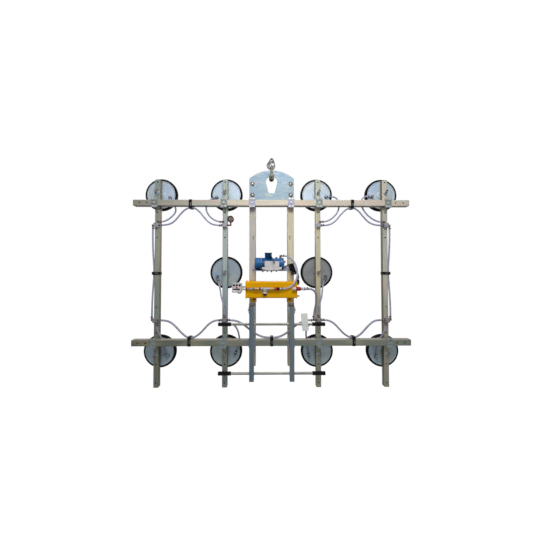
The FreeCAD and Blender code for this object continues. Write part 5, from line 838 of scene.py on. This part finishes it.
SPRING_RADIUS, SPRING_WIRE, SPRING_LOW, SPRING_HIGH, SPRING_TURNS = 18, 1.5, 52.9, 70.3, 3
SPRING_STEPS = 20
for name, (x, z) in PADS.items():
    count = SPRING_TURNS * SPRING_STEPS
    line = []
    for i in range(count + 1):
        share = i / count
        angle = 2 * math.pi * SPRING_TURNS * share
        out = Vector((math.cos(angle), 0, math.sin(angle))) * SPRING_RADIUS
        line.append(Vector((x, SPRING_LOW + (SPRING_HIGH - SPRING_LOW) * share, z)) + out)
    bm = bmesh.new()
    sweep(bm, line, SPRING_WIRE, 10)
    coil = piece(f"spring_{name}", bm, ["bolt"])
    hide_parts("pad_springs")
    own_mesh(coil)


# Pads: lynch pins through the studs, and the elbows' nuts and collars

ELBOW_BEARINGS = {
    "outer_left_top": -17, "inner_left_top": 196, "inner_right_top": -12, "outer_right_top": 190,
    "inner_left_mid": 206, "inner_right_mid": -24, "outer_left_low": -30, "inner_left_low": -17,
    "inner_right_low": 213, "outer_right_low": 222,
}
ELBOW_OFFSET, DISC_FRONT, STUD_TIP = 91, 79, -23.3
PIN_WAY, PIN_TAIL, PIN_HEAD, PIN_RADIUS = Vector((0.62, 0, 0.78)), 20, 17, 2.6
HOOP_LONG, HOOP_WIDE, HOOP_WIRE = 19, 12, 1.7
for name, (x, z) in PADS.items():
    bm = bmesh.new()
    nose = Vector((x, STUD_TIP + 6, z))
    head = nose + PIN_WAY * PIN_HEAD
    sweep(bm, [nose - PIN_WAY * PIN_TAIL, head], PIN_RADIUS, 12, 1)
    lathe(bm, frame_of(head, PIN_WAY), [(0, PIN_RADIUS), (0, 4.6), (6, 4.6), (7, 3.6)], 14, 1)
    across = PIN_WAY.cross(Vector(BACK))
    middle = nose + Vector(FRONT) * 9
    hoop = [middle + PIN_WAY * (2 + HOOP_LONG * c) + across * (HOOP_WIDE * s) for c, s in round_steps(28)]
    sweep(bm, hoop, HOOP_WIRE, 8, 0, around=Vector(BACK))
    lathe(bm, facing(x, STUD_TIP, z), [(-1.5, 9.9), (0, 9.9), (1.2, 8.4)], 24, 0)
    piece(f"lynch_pin_{name}", bm, ["line", "smoke"], f"pad_{name}")
    turn = ELBOW_BEARINGS[name]
    foot = Vector((x, DISC_FRONT, z)) + Vector(bearing(turn)) * ELBOW_OFFSET
    outlet, way = Vector(PAD_HOSES[name][1]), Vector(PAD_HOSES[name][2])
    bm = bmesh.new()
    nut(bm, facing(*foot, turn), 14, 7)
    band(bm, facing(foot.x, DISC_FRONT - 27, foot.z), 6, 11.2, 3.4)
    band(bm, frame_of(outlet - way * 12, way), 7.6, 9.6, 5)
    piece(f"pad_elbow_seat_{name}", bm, ["smoke"], f"pad_{name}")


# Frame: plugs in the tubes' ends, washers and bolt ends, manifold faces, hose straps

CLAMP_LEVELS = tuple(BEAM_LEVELS.values())
CLAMP_FACE, CLAMP_BOLTS = -54, ((0, 0), (-13, -33), (13, -33), (-13, 33), (13, 33))
DOME_LEVELS, DOME_RADIUS = (-217.5, -317.5), 16
PLUG_GAP, PLUG_THICK, PLUG_CORNER = 0.8, 3, 5
BLOCK_FACE, SCREW_CIRCLE = -24, 15.4
BLOCK_PROFILE = [
    (0, 18.6), (3.5, 18.6), (5.0, 17.0), (5.0, 12.5), (4.2, 11.8), (4.2, 7.5), (6.4, 7.0), (6.8, 5.6)]
STRAPS = [(x, -51.4, -412, 0) for x in (-718, 718)] + [(x, -51.4, -1622, 0) for x in (-722, 0, 722)]
STRAPS += [(x, 2.6, -1026, 90) for x in (-1040, 1040)]


def plug(bm, place, way, half):
    side = 2 * half - PLUG_GAP
    slab(bm, frame_of(place, way), side, side, PLUG_THICK, PLUG_CORNER)


bm = bmesh.new()
for column, (middle, half, top, foot) in ((OUTER, CARRIER_TUBE), (INNER, CARRIER_TUBE), (POST, POST_TUBE)):
    for x in (-column, column):
        plug(bm, (x, middle, top), UP, half)
        plug(bm, (x, middle, foot), DOWN, half)
for level in CLAMP_LEVELS:
    for way in (LEFT, RIGHT):
        plug(bm, (way[0] * BEAM_END, BEAM_Y, level), way, BEAM_HALF)
piece("tube_plugs", bm, ["smoke"])

bm = bmesh.new()
for level in CLAMP_LEVELS:
    for column, back in ((OUTER, 57), (INNER, 57), (POST, 70)):
        for x in (-column, column):
            for dx, dz in CLAMP_BOLTS:
                band(bm, facing(x + dx, CLAMP_FACE, level + dz), 5.2, 9.8, 1.4, 20)
                if dz:
                    tip = frame_of((x + dx, back - 1, level + dz), BACK)
                    lathe(bm, tip, [(0, 4.7), (5, 4.7), (6.5, 3.6)], 14)
piece("clamp_washers", bm, ["bolt"])
bm = bmesh.new()
for x in (-POST, POST):
    for level in DOME_LEVELS:
        band(bm, facing(x, -6, level), DOME_RADIUS - 0.5, DOME_RADIUS + 3.5, 1.8, 32)
piece("dome_washers", bm, ["smoke"])

bm = bmesh.new()
for level in BLOCK_LEVELS:
    for x in COLUMNS.values():
        face = facing(x, BLOCK_FACE, level)
        lathe(bm, face, BLOCK_PROFILE, 32)
        for angle in (45, 135, 225, 315):
            turn = math.radians(angle)
            spot = Vector((SCREW_CIRCLE * math.cos(turn), SCREW_CIRCLE * math.sin(turn), 4.9))
            lathe(bm, face @ Matrix.Translation(spot), [(0, 1.9), (1.2, 1.9), (1.6, 1.3)], 10, 1)
piece("manifold_faces", bm, ["alloy", "smoke"])

bm = bmesh.new()
for strap in STRAPS:
    place = facing(*strap)
    slab(bm, place, 25, 44, 1.8, 2)
    slab(bm, place @ Matrix.Translation((0, 24, 0)), 27, 11, 3.4, 2)
    slab(bm, place @ Matrix.Translation((3, -4, 1.7)), 2.0, 30, 0.6, 0.9, 1)
piece("strap_buckles", bm, ["black", "panel"])


# Vacuum gauge: rim, dial with its ticks, glass and the needle's hub

GAUGE = Vector((-368.5, -22, -539))
DIAL_FACE, HUB_FACE, GLASS_FACE = -15, -17.6, -20.2
bm = bmesh.new()
rim = [(-5, 24.9), (-5, 29.2), (1.2, 29.2), (2.6, 27.8), (2.6, 19.4), (1.4, 18.2)]
lathe(bm, facing(*GAUGE), rim, 40, ring=True)
band(bm, frame_of(GAUGE + Vector((0, 13, -30)), UP), 6.6, 10.5, 6, 6)
piece("gauge_rim", bm, ["maroon"])
bm = bmesh.new()
dial = facing(GAUGE.x, DIAL_FACE, GAUGE.z)
lathe(bm, dial, [(0, 24.4), (0.4, 24.4), (0.5, 24.2)], 40)
for k in range(28):
    angle = math.radians(-135 + k * 10)
    long = 4.6 if k % 3 == 0 else 3.0
    spot = Matrix.Rotation(-angle, 4, "Z") @ Matrix.Translation((0, 17.4 - long / 2, 0.4))
    slab(bm, dial @ spot, 0.9, long, 0.35, 0.3, 2 if k > 20 else 1)
piece("gauge_dial", bm, ["dial", "black", "red"])
bm = bmesh.new()
lathe(bm, facing(GAUGE.x, GLASS_FACE, GAUGE.z), [(0, 24.7), (1.2, 24.7), (1.6, 24.0)], 40)
piece("gauge_glass", bm, ["glass"])
bm = bmesh.new()
lathe(bm, facing(GAUGE.x, HUB_FACE, GAUGE.z), [(0, 5.6), (1.0, 5.6), (1.7, 4.2)], 24)
piece("gauge_needle_cap", bm, ["dark_red"], "needle")


# Vacuum monitor: raised rim, panel, lamp, display and marks

MONITOR_X, MONITOR_FACE = -288, -184
bm = bmesh.new()
rim = loop(Vector((MONITOR_X, MONITOR_FACE - 0.2, -1141)), RIGHT, UP, 75, 75, 9)
sweep(bm, rim, 2.0, 10, 0, around=Vector(BACK))
lathe(bm, facing(MONITOR_X, MONITOR_FACE - 0.4, -1138.5, 45), [(0, 9.4), (1.6, 8.8), (2.6, 5.5)], 4, 4)
# Each plate: place, how far it stands out, level, width, height, thickness, corner, finish
for x, out, z, *form in (
        (MONITOR_X, 0, -1134.2, 66, 14.6, 0.5, 2, 1), (MONITOR_X, 0, -1160, 66, 32, 0.5, 2, 1),
        (-291, 0.4, -1152.5, 56, 11, 0.7, 1, 2), (-311.5, 1.0, -1152.5, 14, 8.4, 0.5, 1, 3),
        (-312, 0.4, -1130.2, 12, 3.6, 0.4, 0.8, 5), (-264, 0.4, -1130.2, 12, 3.6, 0.4, 0.8, 5),
        (-277, 0.4, -1164.5, 24, 3.6, 0.4, 0.8, 5), (-305, 0.4, -1167, 28, 9, 0.4, 1, 6)):
    slab(bm, facing(x, MONITOR_FACE - out, z), *form)
for x in (-321, -255):
    for z in (-1108, -1174):
        lathe(bm, facing(x, MONITOR_FACE, z), [(0, 2.6), (1.0, 2.6), (1.5, 1.9)], 14, 7)
lathe(bm, facing(-269, -174, -1169), [(0, 17), (1.2, 16.4), (1.2, 10), (0.4, 9.4), (0.4, 3)], 28, 0)
piece("monitor_panel", bm, ["box", "panel", "black", "dark_red", "red", "pink", "card", "smoke"])


# Pump: terminal lid, gland nuts, cover bolts, filter lid, nuts under the shelf

PUMP_Y, PUMP_Z = -66, -942
COVER_CIRCLE, COWL_RADIUS = 46.5, 55
PORT_Y, PORT_Z = -108, -982
SHELF_Y, SHELF_UNDERSIDE = -100, -1005
bm = bmesh.new()
slab(bm, frame_of((-30, PUMP_Y, -852.5), UP), 63.5, 65.5, 6, 4)
for x in (-55, -5):
    for y in (-91, -41):
        lathe(bm, frame_of((x, y, -846.6), UP), [(0, 3.2), (1.4, 3.2), (2.2, 2.2)], 14, 1)
for y, way in ((-97, FRONT), (-35, BACK)):
    place = frame_of((-12, y, -868), way)
    lathe(bm, place, [(0, 12.5), (1.6, 12.5), (2.4, 11.6)], 28, 2)
    nut(bm, place @ Matrix.Translation((0, 0, 2)), 10.5, 6, 2)
for k in range(6):
    angle = math.radians(30 + 60 * k)
    y, z = PUMP_Y + COVER_CIRCLE * math.cos(angle), PUMP_Z + COVER_CIRCLE * math.sin(angle)
    nut(bm, frame_of((101, y, z), RIGHT), 5.2, 4.2, 1)
    nut(bm, frame_of((89, y, z), LEFT), 4.6, 3.2, 1)
for k in range(4):
    angle = math.radians(45 + 90 * k)
    out = (0, math.cos(angle), math.sin(angle))
    spot = Vector((-91, PUMP_Y, PUMP_Z)) + Vector(out) * COWL_RADIUS
    lathe(bm, frame_of(spot, out), [(-1, 4), (1.6, 4), (2.4, 2.8)], 14, 1)
# Each ring: place along the pump, level, direction, radii, width, sides, finish
for x, z, way, *form in (
        (-99, PUMP_Z, LEFT, 54, 55.9, 3, 48, 0), (41, -893, UP, 7, 10.5, 6, 6, 0),
        (75, -893, UP, 6, 11, 7, 6, 3), (80, -873, RIGHT, 7.8, 10.4, 8, 6, 3)):
    band(bm, frame_of((x, PUMP_Y, z), way), *form)
cap = [(0, 10.2), (3.4, 10.2), (4.6, 8.8), (4.6, 5.2), (3.4, 4.8)]
lathe(bm, frame_of((116, PUMP_Y, -924), RIGHT), cap, 20, 4)
piece("pump_trim", bm, ["navy", "bolt", "black", "fitting", "orange"])

bm = bmesh.new()
for z, height in ((-944.5, 46), (-984, 27)):
    slab(bm, facing(1, -128, z), 122, height, 2.2, 3)
for x in (-56, 58):
    for z in (-925, -963):
        lathe(bm, facing(x, -130, z), [(0, 2.4), (0.8, 2.4), (1.3, 1.7)], 12, 1)
for x, way in ((-81, LEFT), (83, RIGHT)):
    lathe(bm, frame_of((x, PORT_Y, PORT_Z), way), [(-6, 12.2), (-1, 12.2), (1.2, 10.6), (2.0, 7)], 20, 2)
    band(bm, frame_of((x - way[0] * 16, PORT_Y, PORT_Z), way), 10.8, 13, 4, 6, 2)
lathe(bm, frame_of((-3, -122, -920), UP), [(0, 4.2), (2.4, 4.2), (3.6, 2.8)], 16, 3)
piece("filter_lid", bm, ["box", "smoke", "white", "orange"])

bm = bmesh.new()
for x, radius, drop in ((-77, 6, 8), (-38, 4.5, 7), (-3, 6.5, 9), (40, 4.5, 6)):
    band(bm, frame_of((x, SHELF_Y, SHELF_UNDERSIDE), DOWN), 2, radius + 2.5, 1.4, 20)
    nut(bm, frame_of((x, SHELF_Y, SHELF_UNDERSIDE - 1), DOWN), radius, drop)
piece("shelf_nuts", bm, ["smoke"])


# Tank: welds, filling boss and drain

bm = bmesh.new()
for x in (-215, 207):
    bead(bm, loop(Vector((x, -69, -1163)), BACK, UP, 139, 139, 10.5), 2.0, around=Vector(RIGHT))
for x in (-159, 159):
    bead(bm, [Vector((x - 22 + 4 * k, -0.5, -1232.5)) for k in range(12)], 2.2)
lathe(bm, frame_of((-174, -112, -1094.5), UP), [(0, 11), (7, 11), (9, 9.6)], 28)
nut(bm, frame_of((-174, -112, -1086), UP), 8, 5.5)
piece("tank_welds", bm, ["yellow"])
bm = bmesh.new()
drain = Vector((213, -98, -1218))
nut(bm, frame_of(drain, RIGHT), 9, 6)
band(bm, frame_of(drain + Vector((12, 0, 0)), RIGHT), 4.6, 6.8, 5, 16)
sweep(bm, [drain + Vector((16, -9, 0)), drain + Vector((16, 9, 0))], 2.6, 12)
lathe(bm, frame_of(drain + Vector((19.5, 0, 0)), RIGHT), [(0, 5.2), (3, 5.2), (5.5, 2.4)], 16)
piece("tank_drain", bm, ["steel"])


# Vacuum line: nuts, filter rings and the hose coupling

LINE_Y, LINE_Z = -162, -1151


def on_line(x, way=RIGHT):
    return frame_of((x, LINE_Y, LINE_Z), way)


def line_bands(bm, rows):
    """Rings along the line: place, inner and outer radius, width, sides, finish."""
    for x, *form in rows:
        band(bm, on_line(x), *form)


bm = bmesh.new()
lathe(bm, on_line(-243, LEFT), [(0, 11.6), (2, 11.6), (4, 9.4), (4, 6.4), (2.6, 6)], 28, 0)
line_bands(bm, (
    (-234, 10.8, 12.4, 5, 28, 0), (-222, 10.8, 12.8, 6, 6, 0), (-214, 6.8, 10.6, 7, 6, 6),
    (-180, 6.8, 10.2, 20, 20, 2), (-157, 6.8, 11.4, 7, 6, 6), (-149, 11.6, 14.6, 18, 6, 1),
    (-124, 11.6, 14.2, 18, 6, 1), (-103, 6.8, 11.4, 9, 6, 6), (-91, 10.2, 13.2, 10, 6, 2),
    (-31, 10.2, 13.2, 10, 6, 2), (-18, 9.8, 12.2, 5, 28, 1), (-12, 9.8, 13.8, 22, 6, 1),
    (12, 9.8, 11.6, 10, 28, 1), (23, 9.8, 12.4, 6, 28, 6), (30, 10.2, 13.0, 11, 32, 5),
    *[(42 + 3 * k, 10.3, 13.2, 2.6, 32, 6) for k in range(7)], (64, 10.3, 12.2, 11, 6, 2)))
lathe(bm, frame_of((-58, LINE_Y, LINE_Z + 9), UP), [(0, 7), (3, 7), (4, 5.8)], 20, 2)
cup = frame_of((-58, LINE_Y, LINE_Z - 16), DOWN)
band(bm, cup, 13.5, 20.8, 5, 32, 3)
for k in range(4):
    band(bm, cup @ Matrix.Translation((0, 0, 7 + 4 * k)), 18.6, 19.7, 2, 32, 4)
band(bm, cup @ Matrix.Translation((0, 0, 22)), 12.6, 20.2, 4.5, 32, 3)
nut(bm, cup @ Matrix.Translation((0, 0, 35.5)), 6, 5, 3)
piece("line_nuts", bm, ["cream", "brass", "alloy", "smoke", "white", "red", "black"])

bm = bmesh.new()
line_bands(bm, (
    (171, 12.3, 14.6, 7, 6, 0), (180, 12.3, 13.6, 3, 28, 1), (186, 12.3, 14.2, 9, 28, 0),
    (254, 11.3, 14.2, 10, 6, 0), (266, 11.3, 12.8, 4, 28, 1), (272, 11.3, 13.4, 12, 6, 2)))
piece("valve_nuts", bm, ["white", "smoke", "alloy"])
bm = bmesh.new()
line_bands(bm, [(x, 16.8, 17.7, 3.6, 32, 0) for x in (205.5, 231)])
line_bands(bm, [(x, 16.8, 17.5, 2.4, 32, 1) for x in (213, 218, 223)])
piece("valve_bands", bm, ["dark_red", "crimson"], "sleeve")


# Handle: caps, welds, hinge washers and the tag on the upper bar

BAR_Y, BAR_LEVELS = -51.5, (-1470, -1895)
LEG_Y, LEG_TOP, LEG_FOOT, LEG_CAP = -82, -1315, -1942, 39.4
HINGE_LEVEL, HINGE_SIDE = -1340, 25.6
TAG_X, TAG_LEVEL = 287.5, -1449
bm = bmesh.new()
for x in (-POST, POST):
    for level, way in ((LEG_TOP, UP), (LEG_FOOT, DOWN)):
        slab(bm, frame_of((x, LEG_Y, level), way), LEG_CAP, LEG_CAP, 2.5, 3)
piece("leg_caps", bm, ["leg"], "handle")
bm = bmesh.new()
for x in (-POST, POST):
    for z in BAR_LEVELS:
        for side in (-1, 1):
            bead(bm, [Vector((x + side * 20, -61.5, z + 11 - 2 * k)) for k in range(12)], 2.0)
            bead(bm, [Vector((x - 20 + 4 * k, -60.5, z + side * 8.5)) for k in range(11)], 2.0)
piece("handle_welds", bm, ["bar"], "handle")
bm = bmesh.new()
for x in (-POST, POST):
    for way in (LEFT, RIGHT):
        place = frame_of((x + way[0] * HINGE_SIDE, LEG_Y, HINGE_LEVEL), way)
        band(bm, place, 6.2, 13.5, 1.2, 24)
        lathe(bm, place @ Matrix.Translation((0, 0, 6)), [(-1, 9.5), (0.6, 9.5), (1.4, 8)], 20)
piece("hinge_washers", bm, ["leg"])
bm = bmesh.new()
tag = facing(TAG_X, BAR_Y - 13.6, TAG_LEVEL, 5)
slab(bm, tag, 57, 152, 1.6, 6)
for rise in (-36, -6):
    slab(bm, tag @ Matrix.Translation((0, rise, 1.5)), 44, 1.6, 0.3, 0.6, 2)
for x in (TAG_X - 18, TAG_X + 18):
    middle = Vector((x, BAR_Y - 1.3, BAR_LEVELS[0]))
    circle = [middle + Vector((0, 15.4 * c, 13.6 * s)) for c, s in round_steps(28)]
    sweep(bm, circle, 1.5, 8, 1, around=Vector(RIGHT))
piece("handle_tag", bm, ["card", "black", "panel"], "handle")


# Hook and shackle: rivet heads and pin ends

SHACKLE_PIN_LEVEL = -156.3
bm = bmesh.new()
for y, way in ((-11, FRONT), (11, BACK)):
    lathe(bm, frame_of((18, y, -13), way), [(-1, 4.2), (0.8, 4.2), (1.8, 2.8)], 20)
piece("latch_rivets", bm, ["steel"], "hook")
bm = bmesh.new()
for y, way in ((-44, FRONT), (44, BACK)):
    lathe(bm, frame_of((0, y, SHACKLE_PIN_LEVEL), way), [(8, 10.4), (13, 10.4), (14.5, 8.8)], 20)
sweep(bm, [Vector((x, -50, SHACKLE_PIN_LEVEL)) for x in (-16, 16)], 1.8, 10)
piece("shackle_pin_ends", bm, ["olive"], "shackle")


# Floor, background and light

FLOOR_LEVEL, FLOOR_HALF = -2.30, 14
FLOOR_GLOW = 0.88, 0.97, 2.6, 5.5
AMBIENT_STRENGTH, BACKDROP_STRENGTH = 0.10, 1.0


def shown_white(tree):
    """One for rays from camera, reflections and glass, which see a white background; zero for others."""
    path = tree.nodes.new("ShaderNodeLightPath")
    seen = path.outputs["Is Camera Ray"]
    for out in ("Is Glossy Ray", "Is Transmission Ray"):
        joined = tree.nodes.new("ShaderNodeMath")
        joined.operation = "MAXIMUM"
        tree.links.new(seen, joined.inputs[0])
        tree.links.new(path.outputs[out], joined.inputs[1])
        seen = joined.outputs["Value"]
    return seen


floor_graph = Graph("pale_floor")
floor_shader = floor_graph.shader
floor_noise = floor_graph.noise(3.0, detail=3.0)
floor_colour = floor_graph.ramp(floor_noise, "Fac", [(RAMP_LOW, grey(0.27)), (RAMP_HIGH, grey(0.29))])
floor_graph.link(floor_colour, "Color", floor_shader, "Base Color")
floor_shader.inputs["Roughness"].default_value = 0.9
floor_shader.inputs["Specular IOR Level"].default_value = 0.1
floor_shader.inputs["Emission Color"].default_value = grey(1.0)
away = floor_graph.node("ShaderNodeVectorMath")
away.operation = "LENGTH"
floor_graph.link(floor_graph.coords, "Object", away, 0)
glow = floor_graph.spread(away, "Value", *FLOOR_GLOW)
shown = floor_graph.node("ShaderNodeMath")
shown.operation = "MULTIPLY"
floor_graph.link(glow, "Result", shown, 0)
floor_graph.tree.links.new(shown_white(floor_graph.tree), shown.inputs[1])
floor_graph.link(shown, "Value", floor_shader, "Emission Strength")
bm = bmesh.new()
bmesh.ops.create_grid(bm, x_segments=2, y_segments=2, size=FLOOR_HALF)
bmesh.ops.translate(bm, verts=bm.verts, vec=(0, 0, FLOOR_LEVEL))
floor_mesh = bpy.data.meshes.new("floor")
bm.to_mesh(floor_mesh)
bm.free()
floor_mesh.materials.append(floor_graph.material)
floor = bpy.data.objects.new("floor", floor_mesh)
scene.collection.objects.link(floor)

world = bpy.data.worlds.new("studio")
scene.world = world
world.use_nodes = True
tree = world.node_tree
tree.nodes.clear()
world_out = tree.nodes.new("ShaderNodeOutputWorld")
ambient = tree.nodes.new("ShaderNodeBackground")
ambient.inputs["Strength"].default_value = AMBIENT_STRENGTH
backdrop = tree.nodes.new("ShaderNodeBackground")
backdrop.inputs["Strength"].default_value = BACKDROP_STRENGTH
for shader in (ambient, backdrop):
    shader.inputs["Color"].default_value = (1, 1, 1, 1)
choose = tree.nodes.new("ShaderNodeMixShader")
tree.links.new(shown_white(tree), choose.inputs["Fac"])
tree.links.new(ambient.outputs["Background"], choose.inputs[1])
tree.links.new(backdrop.outputs["Background"], choose.inputs[2])
tree.links.new(choose.outputs["Shader"], world_out.inputs["Surface"])


def lamp(name, place, target, size, power):
    data = bpy.data.lights.new(name, "AREA")
    data.shape = "DISK"
    data.size = size
    data.energy = power
    made = bpy.data.objects.new(name, data)
    made.location = place
    made.rotation_euler = (Vector(target) - Vector(place)).to_track_quat("-Z", "Y").to_euler()
    scene.collection.objects.link(made)


lamp("key", (0.12, -1.9, 0.55), (0.05, 0, -0.8), 0.8, 29)
lamp("fill", (-0.1, -3.2, -0.8), (0, 0, -1.0), 2.4, 19)
lamp("overhead", (0, -0.3, 2.0), (0, 0, -1.0), 3.0, 45)
lamp("back", (0.4, 2.8, 0.4), (0, 0, -1.0), 2.0, 22)
